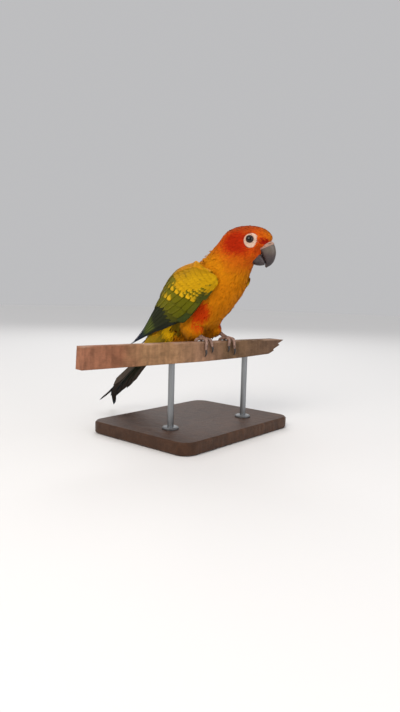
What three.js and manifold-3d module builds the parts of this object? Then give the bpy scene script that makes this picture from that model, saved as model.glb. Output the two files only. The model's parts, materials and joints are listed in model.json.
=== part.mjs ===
// A sun conure on a cut length of lath, life size, held up by a plain display stand.
// Millimetres, +Z up. +X is the way the bird's body faces and +Y is its left side.
// The origin is the centre of the underside of the base.

import * as THREE from "three";
import { mergeVertices } from "three/addons/utils/BufferGeometryUtils.js";
import Module from "manifold-3d";

const wasm = await Module();
wasm.setup();

// Clearance kept between pieces that touch, and the factor from degrees to radians
const GAP = 0.3;
const HALF_GAP = GAP / 2;
const DEGREE = Math.PI / 180;

// Stand and lath. Bird and lath are laid out from the middle of the lath's top face,
// between the feet, and LATH_TOP lifts that point over the centre of the base.
const LATH_TOP = [25, 0, 94];
const LATH_YAW = -9.6 * DEGREE;
const LATH = {
  thickness: 12,
  height: 19,
  edge: 0.5,
  // Side view, as distance along it and height: sawn end, top edge, splintered end, underside
  outline: [
    [-150, -19.4],
    [-20, -19],
    [30, -17.8],
    [73, -15.6],
    [81, -12.4],
    [80, -11],
    [90, -6.4],
    [87.5, -5],
    [96, -1],
    [86, 0],
    [-149, 0],
  ],
};
const BASE = { length: 130, width: 170, thickness: 12, corner: 14, edge: 1.5 };
const ROD = { radius: 3, places: { near: -54, far: 42 }, sides: 20 };
const FLANGE = { radius: 8, thickness: 2.2 };

// The body is one smooth blend of egg-shaped forms: centre, pitch and yaw in degrees,
// and half sizes along, across and up.
const BLEND = 4;
const BODY_FORMS = [
  { at: [-60, 0, 8.5], pitch: 41, yaw: 0, half: [28, 10.5, 9.5] },
  { at: [-40, 0, 22.2], pitch: 43, yaw: 0, half: [30, 17.5, 18] },
  { at: [-14.6, 0, 42.6], pitch: 46, yaw: 0, half: [38, 26, 27.5] },
  { at: [5.3, 0, 59.9], pitch: 54, yaw: 0, half: [28, 24, 24] },
  { at: [15.5, 0.5, 77.5], pitch: 55, yaw: 8, half: [22, 17.6, 19.6] },
];

// The head is turned to the bird's left. Its forms are placed forward, left and up
// from the head's centre.
const HEAD_CENTRE = [31, 3, 93];
const HEAD_YAW = 31;
const HEAD_FORMS = [
  { at: [-3, 0, 2.6], pitch: 0, half: [18.4, 12.3, 14.2] },
  { at: [12.6, 0, 6.2], pitch: -12, half: [12.6, 9.2, 9.2] },
  { at: [2, 0, -8], pitch: 12, half: [9.5, 10.5, 8] },
];

// Where the body is parted: a point on its axis with the pitch and yaw of the cut's normal
const TAIL_CUT = { at: [-54, 0, 15], pitch: 42, yaw: 0 };
const NECK_CUT = { at: [9, 0, 67], pitch: 47, yaw: 0 };
const HEAD_CUT = { at: [20, 1, 81], pitch: 50, yaw: 14 };
const TORSO_AXIS = [
  TAIL_CUT,
  { at: [-36, 0, 29], pitch: 44, yaw: 0 },
  { at: [-14, 0, 47], pitch: 46, yaw: 0 },
  NECK_CUT,
];
const SIDES_AROUND = 30;

// Head features, in millimetres forward, left and up from the head's centre
const EYE = { at: [4.4, 4.4], radius: 4.4, sunk: 2.8, bareRadius: 7.2, bareDepth: 0.7, lid: 0.75 };
const NOSTRIL = { at: [22.2, 3.6, 3.0], radius: 0.9 };
const UPPER_BILL = {
  culmen: [[18, 5], [25.6, 2.2], [28.4, -6.4], [26.6, -13.8], [21.4, -20.6]],
  cutting: [[7, -3.8], [12, -6.2], [16.6, -9.8], [19.4, -14.4], [20.8, -20.4]],
  halfWidth: [6.2, 6.3, 5.8, 4.2, 0.4],
};
const LOWER_BILL = {
  cutting: [[6, -5], [12, -6], [17, -9.6], [20, -14.5]],
  under: [[2, -13.5], [8.6, -17.6], [13.6, -19], [19, -17.6]],
  halfWidth: [6, 5.8, 5.2, 3],
};

// Folded wing, laid out from the wrist: along is the way to the wing tip, out of the wing's
// side view, with the lower and upper edge and the distance from the body's middle plane.
const WING = {
  wrist: [22, 62],
  pitch: -28.6 * DEGREE,
  along: [0, 6, 25, 50, 65, 82, 104, 124, 150],
  lower: [-0.5, -5.5, -12.5, -19.4, -18.6, -14, -8, -4, 0.2],
  upper: [4, 13, 29.5, 37.5, 36, 29.5, 20, 11.5, 3],
  outward: [27, 29.5, 31.8, 32.6, 31.4, 28, 22.5, 17, 11.5],
  fromAngle: -25,
  toAngle: [10, 28, 58, 68, 70, 70, 70, 70, 70],
  depth: 3.4,
  clear: 0.7,
  under: 0.3,
  // Where the flesh ends at the lower and the upper edge, and its thickness on the way there
  coreEnd: [50, 84],
  coreThick: [1.6, 2.4, 2.6, 2.3, 1.8, 1.3, 0.9],
};

// Tiers of the wing's feathers, from the primaries up to the median coverts: how many; points
// across one; shares across the wing of the first and last one's root and tip; where the tips
// lie along the wing, from its lower edge to its upper one; a feather's length, the stretch in
// which its end narrows, the level of its upper face over the wing's underside, how far that
// sinks towards the root, and its thickness, part of which lies in the tier below.
const WING_TIERS = [
  {
    count: 6,
    columns: 2,
    roots: [0.1, 0.88],
    ends: [0.08, 0.88],
    tips: [146, 151, 147, 139, 129, 119, 110],
    length: 76,
    narrowing: 26,
    level: 1,
    dip: 0.3,
    thick: 0.65,
  },
  {
    count: 7,
    columns: 2,
    roots: [0.06, 0.95],
    ends: [0.06, 0.95],
    tips: [61, 70, 84, 97, 105],
    length: 42,
    narrowing: 7,
    level: 1.75,
    dip: 0.9,
    thick: 1.1,
  },
  {
    count: 7,
    columns: 2,
    roots: [0.07, 0.94],
    ends: [0.07, 0.94],
    tips: [44, 54, 68, 81, 91],
    length: 26,
    narrowing: 6,
    level: 2.6,
    dip: 1.3,
    thick: 1.3,
  },
  {
    count: 6,
    columns: 2,
    roots: [0.1, 0.93],
    ends: [0.1, 0.93],
    tips: [28, 40, 54, 67, 77],
    length: 20,
    narrowing: 5,
    level: 3.4,
    dip: 1.7,
    thick: 1.5,
  },
];

// A wing feather's lower edge lies over its neighbour's upper edge: rise across one feather,
// half width as a share of their spacing, and spacing of the rows of points along it
const TILE = { rise: 0.6, half: 0.66, rows: 20 };

// Feather width from root to tip, as shares of length and of the greatest width
const LONG_FEATHER = { rows: [0, 0.3, 0.6, 0.86, 1], width: [0.7, 1, 0.95, 0.62, 0.1] };
const SHORT_FEATHER = { rows: [0, 0.45, 0.82, 1], width: [0.75, 1, 0.8, 0.22] };
const THIN = 0.5;

// Closed tail: the course of its middle line, and the fleshy stub that holds the roots
const TAIL = {
  line: [[-50, 0, 16], [-86, 0, -13], [-120, 0, -42], [-146, 0, -66], [-165, 0, -86]],
  rootsAt: 0.12,
  // Fall of the left half at the tip, for each millimetre to the left
  twist: 0.3,
  stub: { end: 0.24, halfWidth: [9, 8.5, 6.5], halfThick: [5.5, 4.2, 1.6] },
};

// Tail feathers of one side from the middle pair outwards: share of the tail's length that
// they reach, distance from the middle line at root and tip, half width and lift
const TAIL_FEATHERS = [
  { reach: 1, from: 1.6, to: 8.2, half: 4.2, lift: 1.9 },
  { reach: 0.95, from: 4.2, to: 9.4, half: 4.1, lift: 1.1 },
  { reach: 0.89, from: 4.6, to: 10.6, half: 4.1, lift: 0.3 },
  { reach: 0.82, from: 5, to: 11.6, half: 4.1, lift: -0.5 },
  { reach: 0.74, from: 5.4, to: 12.2, half: 4, lift: -1.3 },
  { reach: 0.66, from: 5.6, to: 12.2, half: 3.9, lift: -2.1 },
];

// Step between two thin feathers that overlap
const OVERLAP_STEP = 0.8;
// Coverts over and under the tail's root: count, spread to each side, length, lift
const TAIL_COVERTS = [
  { count: 4, spread: 6.6, from: 0.1, tips: [0.25, 0.3], half: 3.2, lift: [3.6, 3.3] },
  { count: 5, spread: 7.4, from: 0.1, tips: [0.34, 0.43], half: 3.4, lift: [-6.2, -3.4] },
];

// Feathered thigh, a blend of two egg shapes round an upright axis
const THIGH = {
  forms: [
    { at: [-21, 12.5, 23], pitch: 66, half: [15, 10.5, 14] },
    { at: [-17.5, 14.2, 10.5], pitch: 84, half: [9.6, 7.8, 12] },
  ],
  axis: [-19, 13.6, 16],
  blend: 2.5,
};

// Feet, laid out from the middle of the grip: forward, outward and up, with the shank first
const FOOT = {
  spacing: 15.5,
  shank: [[-14, -1, 12], [-9.5, -0.4, 7.4], [-3.5, 0, 3.8], [1.2, 0, 2.6]],
  shankRadii: [2.2, 1.9, 2.2, 1.9],
};

// Toes: way they point, how far outward they start and end, drop over the lath's edge
const TOES = [
  { way: 1, root: -1.4, tip: -4.6, drop: 5.2, radius: 1.5 },
  { way: 1, root: 1.4, tip: 3.6, drop: 8.4, radius: 1.6 },
  { way: -1, root: -1.4, tip: -4, drop: 4, radius: 1.4 },
  { way: -1, root: 1.4, tip: 4.6, drop: 7.2, radius: 1.5 },
];

const COLOURS = {
  head: "#d8531a",
  neck: "#dd8a14",
  torso: "#dc8f18",
  tail: "#4c4a2c",
  wing: "#8f9a26",
  thigh: "#dd8d1c",
  bill: "#5d5654",
  eye: "#17110f",
  foot: "#8d7065",
  lath: "#8a6350",
  stand: "#5a4032",
  rod: "#8f9296",
};

// A frame of three unit vectors: forward at a pitch and yaw, left, and up
function directions(pitch, yaw) {
  const forward = new THREE.Vector3(
    Math.cos(pitch) * Math.cos(yaw),
    Math.cos(pitch) * Math.sin(yaw),
    Math.sin(pitch),
  );
  const left = new THREE.Vector3(-Math.sin(yaw), Math.cos(yaw), 0);
  const up = new THREE.Vector3().crossVectors(forward, left);
  return { forward, left, up };
}

// The point at given distances along a frame's vectors from its start
function placed(start, frame, [forward, left, up]) {
  return start
    .clone()
    .addScaledVector(frame.forward, forward)
    .addScaledVector(frame.left, left)
    .addScaledVector(frame.up, up);
}

const vector = (numbers) => new THREE.Vector3(...numbers);
const headStart = vector(HEAD_CENTRE);
const headFrame = directions(0, HEAD_YAW * DEGREE);
const headPoint = (numbers) => placed(headStart, headFrame, numbers);

// A smooth curve through values at even steps, read at a share from 0 to 1
function smoothValue(values, share) {
  const place = THREE.MathUtils.clamp(share, 0, 1) * (values.length - 1);
  const first = Math.min(Math.floor(place), values.length - 2);
  const t = place - first;
  const [b, c] = [values[first], values[first + 1]];
  const a = first > 0 ? values[first - 1] : 2 * b - c;
  const d = first + 2 < values.length ? values[first + 2] : 2 * c - b;
  const slopeIn = (c - a) / 2;
  const slopeOut = (d - b) / 2;
  const rise = 2 * (b - c) + slopeIn + slopeOut;
  const bend = 3 * (c - b) - 2 * slopeIn - slopeOut;
  return ((rise * t + bend) * t + slopeIn) * t + b;
}

const smoothPoint = (points, share) =>
  points[0].map((_, axis) => smoothValue(points.map((point) => point[axis]), share));

// Distance from a point to an egg-shaped form's surface, negative inside
function eggForm({ at, pitch, yaw = 0, half }) {
  const centre = vector(at);
  const { forward, left, up } = directions(pitch * DEGREE, yaw * DEGREE);
  const offset = new THREE.Vector3();
  return (point) => {
    offset.subVectors(point, centre);
    const parts = [offset.dot(forward), offset.dot(left), offset.dot(up)];
    const once = Math.hypot(...parts.map((part, i) => part / half[i]));
    const twice = Math.hypot(...parts.map((part, i) => part / half[i] ** 2));
    return twice < 1e-9 ? -Math.min(...half) : (once * (once - 1)) / twice;
  };
}

const headForms = HEAD_FORMS.map((form) => ({
  ...form,
  at: headPoint(form.at).toArray(),
  yaw: HEAD_YAW,
}));
const bodyForms = [...BODY_FORMS, ...headForms].map(eggForm);

// Distance to a smooth blend of forms, negative inside
function blendDistance(forms, blend, point) {
  let sum = 0;
  for (const form of forms) sum += Math.exp(-form(point) / blend);
  return -blend * Math.log(sum);
}

const bodyDistance = (point) => blendDistance(bodyForms, BLEND, point);

// How far a ray from inside a form runs until it is a given distance outside its surface
function reach(distance, start, direction, level) {
  let inside = 0;
  let outside = 90;
  const point = new THREE.Vector3();
  for (let step = 0; step < 22; step += 1) {
    const middle = (inside + outside) / 2;
    point.copy(start).addScaledVector(direction, middle);
    if (distance(point) < level) inside = middle;
    else outside = middle;
  }
  return (inside + outside) / 2;
}

// A ring of surface points round an axis. The rays open to a cone's half angle, where
// a right angle gives a flat section.
function ringRound(distance, { at, pitch, yaw, cone = 90 }, level, sides = SIDES_AROUND) {
  const start = vector(at);
  const { forward, left, up } = directions(pitch * DEGREE, yaw * DEGREE);
  const ring = [];
  for (let i = 0; i < sides; i += 1) {
    const turn = (i / sides) * 2 * Math.PI;
    const direction = new THREE.Vector3()
      .addScaledVector(left, Math.cos(turn))
      .addScaledVector(up, Math.sin(turn))
      .multiplyScalar(Math.sin(cone * DEGREE))
      .addScaledVector(forward, Math.cos(cone * DEGREE));
    const run = reach(distance, start, direction, level);
    ring.push(start.clone().addScaledVector(direction, run));
  }
  return ring;
}

// Stations between two or more given ones, evenly stepped
function stationsBetween(stations, steps) {
  const list = [];
  for (let i = 0; i <= steps; i += 1) {
    const share = i / steps;
    list.push({
      at: smoothPoint(stations.map((station) => station.at), share),
      pitch: smoothValue(stations.map((station) => station.pitch), share),
      yaw: smoothValue(stations.map((station) => station.yaw), share),
      cone: smoothValue(stations.map((station) => station.cone ?? 90), share),
    });
  }
  return list;
}

// A station moved along its own normal
function shifted(station, distance) {
  const { forward } = directions(station.pitch * DEGREE, station.yaw * DEGREE);
  return { ...station, at: vector(station.at).addScaledVector(forward, distance).toArray() };
}

// A solid of points and triangles, turned face out if need be
function solidOf(points, triangles) {
  const vertProperties = new Float32Array(points.flatMap((point) => point.toArray()));
  const build = (list) =>
    new wasm.Manifold(
      new wasm.Mesh({ numProp: 3, vertProperties, triVerts: new Uint32Array(list.flat()) }),
    );
  const solid = build(triangles);
  return solid.volume() > 0 ? solid : build(triangles.map(([a, b, c]) => [a, c, b]));
}

// The solid inside a row of rings, closed by a fan at each end
function ringSolid(rings, poles = []) {
  const points = rings.flat();
  const count = rings[0].length;
  const triangles = [];
  for (let row = 0; row + 1 < rings.length; row += 1) {
    for (let i = 0; i < count; i += 1) {
      const a = row * count + i;
      const b = row * count + ((i + 1) % count);
      triangles.push([a, b, b + count], [a, b + count, a + count]);
    }
  }
  const ends = [0, rings.length - 1];
  ends.forEach((row, end) => {
    const middle = new THREE.Vector3();
    rings[row].forEach((point) => middle.addScaledVector(point, 1 / count));
    const pole = points.push(poles[end] ?? middle) - 1;
    for (let i = 0; i < count; i += 1) {
      const a = row * count + i;
      const b = row * count + ((i + 1) % count);
      triangles.push(end === 0 ? [b, a, pole] : [a, b, pole]);
    }
  });
  return solidOf(points, triangles);
}

// The solid between two grids of points of one size, with both faces split alike
function sheetSolid(outer, inner) {
  const rows = outer.length;
  const columns = outer[0].length;
  const points = [...outer.flat(), ...inner.flat()];
  const below = rows * columns;
  const triangles = [];
  for (let row = 0; row + 1 < rows; row += 1) {
    for (let column = 0; column + 1 < columns; column += 1) {
      const a = row * columns + column;
      const [b, c, d] = [a + 1, a + columns + 1, a + columns];
      triangles.push([a, b, c], [a, c, d]);
      triangles.push([a + below, c + below, b + below], [a + below, d + below, c + below]);
    }
  }
  const rim = [];
  for (let column = 0; column + 1 < columns; column += 1) rim.push(column);
  for (let row = 0; row + 1 < rows; row += 1) rim.push(row * columns + columns - 1);
  for (let column = columns - 1; column > 0; column -= 1) rim.push((rows - 1) * columns + column);
  for (let row = rows - 1; row > 0; row -= 1) rim.push(row * columns);
  rim.forEach((a, i) => {
    const b = rim[(i + 1) % rim.length];
    triangles.push([b, a, a + below], [b, a + below, b + below]);
  });
  return solidOf(points, triangles);
}

// A three.js geometry as a solid
function solidFromGeometry(geometry, matrix) {
  const bare = new THREE.BufferGeometry();
  bare.setAttribute("position", geometry.getAttribute("position").clone());
  if (geometry.index) bare.setIndex(geometry.index.clone());
  if (matrix) bare.applyMatrix4(matrix);
  const merged = mergeVertices(bare, 1e-4);
  return new wasm.Manifold(
    new wasm.Mesh({
      numProp: 3,
      vertProperties: merged.attributes.position.array,
      triVerts: new Uint32Array(merged.index.array),
    }),
  );
}

// The largest closed surface of a solid
function largestPiece(solid) {
  const pieces = solid.decompose();
  return pieces.reduce((a, b) => (b.volume() > a.volume() ? b : a));
}

function joined(solids) {
  return solids.reduce((whole, solid) => whole.add(solid));
}

function meshOf(name, solid, colour, roughness, metalness = 0) {
  const { vertProperties, triVerts } = largestPiece(solid).getMesh();
  const geometry = new THREE.BufferGeometry();
  geometry.setAttribute("position", new THREE.BufferAttribute(new Float32Array(vertProperties), 3));
  geometry.setIndex([...triVerts]);
  geometry.computeVertexNormals();
  const material = new THREE.MeshStandardMaterial({ color: colour, roughness, metalness });
  const mesh = new THREE.Mesh(geometry, material);
  mesh.name = name;
  return mesh;
}

// Torso, neck and head, parted by thin flat cuts

function trunkSolid(axis, steps, level) {
  const stations = stationsBetween(axis, steps);
  stations[0] = shifted(stations[0], HALF_GAP);
  stations[steps] = shifted(stations[steps], -HALF_GAP);
  return ringSolid(stations.map((station) => ringRound(bodyDistance, station, level)));
}

// Rings rise from the cut and close over the crown
function headShape(level) {
  const crown = { at: HEAD_CENTRE, pitch: 62, yaw: HEAD_YAW };
  const stations = stationsBetween(
    [
      { ...shifted(HEAD_CUT, HALF_GAP), cone: 90 },
      { ...crown, cone: 62 },
      { ...crown, cone: 34 },
      { ...crown, cone: 8 },
    ],
    16,
  );
  const { forward } = directions(crown.pitch * DEGREE, crown.yaw * DEGREE);
  const run = reach(bodyDistance, headStart, forward, level);
  const pole = headStart.clone().addScaledVector(forward, run);
  const rings = stations.map((station) => ringRound(bodyDistance, station, level));
  return ringSolid(rings, [undefined, pole]);
}

// The eye's place on the head's side: the surface point with the outward direction there
function eyePlace(side) {
  const [forward, up] = EYE.at;
  const start = headPoint([forward, 0, up]);
  const outward = headFrame.left.clone().multiplyScalar(side);
  const run = reach(bodyDistance, start, outward, 0);
  const surface = start.addScaledVector(outward, run);
  return { surface, outward: slopeAt(bodyDistance, surface) };
}

// The direction in which a distance grows fastest
function slopeAt(distance, point) {
  const step = 0.05;
  const moved = (axis, by) => {
    const near = point.clone();
    near.setComponent(axis, near.getComponent(axis) + by);
    return distance(near);
  };
  const parts = [0, 1, 2].map((axis) => moved(axis, step) - moved(axis, -step));
  return vector(parts).normalize();
}

// A matrix that lays +Z along a direction at a place
function facing(place, direction) {
  const turn = new THREE.Quaternion().setFromUnitVectors(new THREE.Vector3(0, 0, 1), direction);
  return new THREE.Matrix4().compose(place, turn, new THREE.Vector3(1, 1, 1));
}

const eyeCentre = ({ surface, outward }) => surface.clone().addScaledVector(outward, -EYE.sunk);

function sphereSolid(centre, radius, across, rows) {
  const matrix = new THREE.Matrix4().makeTranslation(centre);
  return solidFromGeometry(new THREE.SphereGeometry(radius, across, rows), matrix);
}

function eyeSolid(side, swell = 0) {
  return sphereSolid(eyeCentre(eyePlace(side)), EYE.radius + swell, 16, 10);
}

// A shallow round dish for the bare skin, with the raised lids round the eye
function withEyeSocket(head, side) {
  const place = eyePlace(side);
  const dishProfile = [
    [0, 0],
    [EYE.bareRadius * 0.6, 0.25],
    [EYE.bareRadius, 1],
    [EYE.bareRadius + 1, 5],
    [0, 5],
  ].map(([radius, up]) => new THREE.Vector2(radius, up));
  const dish = solidFromGeometry(
    new THREE.LatheGeometry(dishProfile, 24),
    facing(place.surface.clone().addScaledVector(place.outward, -EYE.bareDepth), place.outward)
      .multiply(new THREE.Matrix4().makeRotationX(Math.PI / 2)),
  );
  const lidRadius = Math.sqrt(EYE.radius ** 2 - EYE.sunk ** 2) + EYE.lid;
  const lid = solidFromGeometry(
    new THREE.TorusGeometry(lidRadius, EYE.lid, 5, 20),
    facing(place.surface.clone().addScaledVector(place.outward, -0.35), place.outward),
  );
  const socket = eyeSolid(side, GAP);
  return head.subtract(dish).add(lid).subtract(socket);
}

function nostrilCut(side) {
  const [forward, left, up] = NOSTRIL.at;
  return sphereSolid(headPoint([forward, side * left, up]), NOSTRIL.radius, 10, 8);
}

// A half of the bill: oval sections between its outer edge and its cutting edge
function billSolid(outline, edges, rows, swell = 0) {
  const [outer, inner] = edges.map((edge) => outline[edge]);
  const rings = [];
  const sides = 14;
  for (let row = 0; row < rows; row += 1) {
    const share = row / (rows - 1);
    const [outerForward, outerUp] = smoothPoint(outer, share);
    const [innerForward, innerUp] = smoothPoint(inner, share);
    const middle = [(outerForward + innerForward) / 2, (outerUp + innerUp) / 2];
    const half = [(outerForward - innerForward) / 2, (outerUp - innerUp) / 2];
    const length = Math.max(Math.hypot(...half), 0.35);
    const direction = half.map((part) => part / Math.hypot(...half, 1e-6));
    const width = Math.max(smoothValue(outline.halfWidth, share), 0.35) + swell;
    const ring = [];
    for (let i = 0; i < sides; i += 1) {
      const turn = (i / sides) * 2 * Math.PI;
      const along = Math.cos(turn) * (length + swell);
      const across = Math.sign(Math.sin(turn)) * Math.abs(Math.sin(turn)) ** 0.8 * width;
      ring.push(
        headPoint([middle[0] + along * direction[0], across, middle[1] + along * direction[1]]),
      );
    }
    rings.push(ring);
  }
  return ringSolid(rings);
}

const upperBill = (swell) => billSolid(UPPER_BILL, ["culmen", "cutting"], 11, swell);
const lowerBill = (swell) => billSolid(LOWER_BILL, ["cutting", "under"], 8, swell);

// Folded wing: a point given by the distance along it, a share from the lower edge to
// the upper one, and the lift over the wing's underside
const wingAlong = [Math.cos(WING.pitch) * -1, Math.sin(WING.pitch)];
const wingAcross = [Math.sin(WING.pitch), Math.cos(WING.pitch)];

function atAlong(values, along) {
  const places = WING.along;
  let row = 0;
  while (row + 2 < places.length && along > places[row + 1]) row += 1;
  const share = (along - places[row]) / (places[row + 1] - places[row]);
  return smoothValue(values, (row + THREE.MathUtils.clamp(share, 0, 1)) / (places.length - 1));
}

// Distance to the thigh of one side, and to the body or either thigh, whichever is nearer
const mirrored = (side, [x, y, z]) => [x, side * y, z];
const thighDistances = { 1: thighDistanceOf(1), [-1]: thighDistanceOf(-1) };
function thighDistanceOf(side) {
  const forms = THIGH.forms.map((form) => eggForm({ ...form, at: mirrored(side, form.at) }));
  return (point) => blendDistance(forms, THIGH.blend, point);
}
const flankDistance = (point) =>
  Math.min(bodyDistance(point), thighDistances[1](point), thighDistances[-1](point));

// A point on the folded wing, on a ray out of the body's middle plane. It stays clear of
// body and thigh by its lift.
function wingPoint(side, along, share, lift) {
  const lower = atAlong(WING.lower, along);
  const upper = atAlong(WING.upper, along);
  const outward = atAlong(WING.outward, along);
  const from = WING.fromAngle * DEGREE;
  const to = atAlong(WING.toAngle, along) * DEGREE;
  const angle = THREE.MathUtils.lerp(from, to, share);
  const half = (upper - lower) / (Math.sin(to) - Math.sin(from));
  const middle = lower - half * Math.sin(from);
  const start = new THREE.Vector3(
    WING.wrist[0] + along * wingAlong[0] + middle * wingAcross[0],
    0,
    WING.wrist[1] + along * wingAlong[1] + middle * wingAcross[1],
  );
  const rise = half * Math.sin(angle);
  const ray = new THREE.Vector3(
    rise * wingAcross[0],
    side * outward * Math.cos(angle),
    rise * wingAcross[1],
  );
  const guide = ray.length() + lift - WING.depth;
  ray.normalize();
  const clear = reach(flankDistance, start, ray, GAP + WING.clear + lift);
  return start.addScaledVector(ray, Math.max(guide, clear));
}

// A row of points across a feather at one level, with its lower edge raised by the tile's rise
function tileRow(side, columns, along, share, half, level, rise) {
  return Array.from({ length: columns }, (_, column) => {
    const edge = (2 * column) / (columns - 1) - 1;
    return wingPoint(side, along, share + edge * half, level - (edge * rise) / 2);
  });
}

// The wing's flesh, thin at its edges, which holds the feathers' roots
function wingCore(side) {
  const rows = 9;
  const columns = 5;
  const grids = [[], []];
  for (let row = 0; row <= rows; row += 1) {
    const thick = smoothValue(WING.coreThick, row / rows);
    const places = Array.from({ length: columns + 1 }, (_, column) => {
      const share = column / columns;
      const along = (row / rows) * THREE.MathUtils.lerp(...WING.coreEnd, share);
      const edge = Math.sin(Math.PI * THREE.MathUtils.clamp(share, 0.05, 0.95)) ** 0.3;
      return { along, share, lift: thick * edge };
    });
    grids[0].push(places.map(({ along, share, lift }) => wingPoint(side, along, share, lift)));
    grids[1].push(places.map(({ along, share }) => wingPoint(side, along, share, WING.under)));
  }
  return sheetSolid(...grids);
}

// Where a feather's rows of points lie between root and tip. Feathers share the places of
// their middle rows, so that neighbours bend alike.
function featherRows(root, tip, narrowing) {
  const rows = [
    { along: tip, width: 0.12 },
    { along: tip - 0.3 * narrowing, width: 0.66 },
    { along: tip - narrowing, width: 1 },
  ];
  const margin = 4;
  let along = Math.floor((tip - narrowing - margin) / TILE.rows) * TILE.rows;
  for (; along > root + margin; along -= TILE.rows) rows.push({ along, width: 1 });
  rows.push({ along: root, width: 0.8 });
  return rows;
}

function wingFeather(side, tier, place) {
  const step = (tier.ends[1] - tier.ends[0]) / (tier.count - 1);
  const tipShare = THREE.MathUtils.lerp(...tier.ends, place);
  const rootShare = THREE.MathUtils.lerp(...tier.roots, place);
  const tip = smoothValue(tier.tips, tipShare);
  const root = tip - tier.length;
  const grids = [[], []];
  for (const { along, width } of featherRows(root, tip, tier.narrowing)) {
    const share = THREE.MathUtils.mapLinear(along, root, tip, rootShare, tipShare);
    const toRoot = THREE.MathUtils.clamp((smoothValue(tier.tips, share) - along) / tier.length, 0, 1);
    const level = tier.level - tier.dip * toRoot ** 3;
    const half = width * TILE.half * step;
    const rise = width * TILE.rise;
    const row = (up) => tileRow(side, tier.columns, along, share, half, up, rise);
    grids[0].push(row(level));
    grids[1].push(row(level - tier.thick));
  }
  return sheetSolid(...grids);
}

// Four tiers of feathers, each rooted in the flesh under the tier before it
function wingSolid(side) {
  const parts = [wingCore(side)];
  for (const tier of WING_TIERS) {
    for (let i = 0; i < tier.count; i += 1) {
      parts.push(wingFeather(side, tier, i / (tier.count - 1)));
    }
  }
  return joined(parts);
}

// Tail: the place on its middle line with the direction out of its upper face
function tailPlace(share) {
  const middle = vector(smoothPoint(TAIL.line, share));
  const after = vector(smoothPoint(TAIL.line, share + 0.01));
  const before = vector(smoothPoint(TAIL.line, share - 0.01));
  const along = after.sub(before).normalize();
  const over = new THREE.Vector3().crossVectors(along, new THREE.Vector3(0, -1, 0));
  return { middle, along, over };
}

// A block that fills all in front of the tail's cut, where the torso is
function behindTailCut() {
  const size = 80;
  const { forward } = directions(TAIL_CUT.pitch * DEGREE, 0);
  const centre = vector(shifted(TAIL_CUT, size / 2 - HALF_GAP).at);
  return solidFromGeometry(new THREE.BoxGeometry(size, size, size), facing(centre, forward));
}

// A point by its share of the tail's length, distance to the left and lift
function tailPoint(share, left, lift) {
  const { middle, over } = tailPlace(share);
  const point = middle.addScaledVector(over, lift - left * TAIL.twist * share ** 2);
  point.y += left;
  return point;
}

// A thin feather from a root to a tip, each given as a share of the tail's length and a
// distance to the left, with the lift at both
function tailFeather({ root, tip, half, lift, shape, columns }) {
  const edges = Array.from({ length: columns }, (_, i) => (2 * i) / (columns - 1) - 1);
  const grids = [[], []];
  shape.rows.forEach((share, row) => {
    const along = THREE.MathUtils.lerp(root[0], tip[0], share);
    const middle = THREE.MathUtils.lerp(root[1], tip[1], share);
    const width = shape.width[row] * half;
    grids.forEach((grid, face) => {
      const level = THREE.MathUtils.lerp(...lift, share) + (face === 0 ? THIN : 0);
      grid.push(edges.map((edge) => tailPoint(along, middle + edge * width, level)));
    });
  });
  return sheetSolid(...grids);
}

// The end of the body with the stub that holds the tail feathers' roots
function tailCore() {
  const stations = stationsBetween(
    [
      { ...shifted(TAIL_CUT, 2), cone: 90 },
      { ...shifted(TAIL_CUT, -12), cone: 120 },
      { ...shifted(TAIL_CUT, -14), cone: 165 },
    ],
    7,
  );
  const root = ringSolid(stations.map((station) => ringRound(bodyDistance, station, 0, 22)));
  const rings = [];
  const rows = 6;
  const sides = 14;
  const { end, halfWidth, halfThick } = TAIL.stub;
  for (let row = 0; row <= rows; row += 1) {
    const share = row / rows;
    const ring = [];
    for (let i = 0; i < sides; i += 1) {
      const turn = (i / sides) * 2 * Math.PI;
      const left = Math.cos(turn) * smoothValue(halfWidth, share);
      const lift = Math.sin(turn) * smoothValue(halfThick, share);
      ring.push(tailPoint(share * end, left, lift));
    }
    rings.push(ring);
  }
  return root.add(ringSolid(rings));
}

// Twelve graduated feathers, the middle pair on top, with coverts over and under their roots
function tailSolid() {
  const parts = [tailCore()];
  for (const side of [1, -1]) {
    TAIL_FEATHERS.forEach(({ reach: end, from, to, half, lift }, pair) => {
      const level = lift + (pair === 0 && side > 0 ? OVERLAP_STEP : 0);
      parts.push(
        tailFeather({
          root: [TAIL.rootsAt, side * from],
          tip: [end, side * to],
          half,
          lift: [level, level],
          shape: LONG_FEATHER,
          columns: 3,
        }),
      );
    });
  }
  for (const { count, spread, from, tips, half, lift } of TAIL_COVERTS) {
    for (let i = 0; i < count; i += 1) {
      const across = (2 * i) / (count - 1) - 1;
      const end = THREE.MathUtils.lerp(tips[1], tips[0], Math.abs(across));
      parts.push(
        tailFeather({
          root: [from, across * spread * 0.7],
          tip: [end, across * spread],
          half,
          lift: lift.map((level) => level + (i % 2) * Math.sign(level) * OVERLAP_STEP),
          shape: SHORT_FEATHER,
          columns: 2,
        }),
      );
    }
  }
  return largestPiece(joined(parts).subtract(behindTailCut()));
}

// Legs: feathered thigh, bare shank and four toes that grip the lath, two each way

const lathFrame = directions(0, LATH_YAW);
const lathPoint = (forward, along, up) =>
  placed(new THREE.Vector3(), lathFrame, [forward, along, up]);

function thighSolid(side, swell = 0) {
  const at = mirrored(side, THIGH.axis);
  const stations = stationsBetween(
    [
      { at, pitch: 80, yaw: 0, cone: 170 },
      { at, pitch: 80, yaw: 0, cone: 90 },
      { at, pitch: 80, yaw: 0, cone: 10 },
    ],
    9,
  );
  return ringSolid(stations.map((station) => ringRound(thighDistances[side], station, swell, 18)));
}

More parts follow.
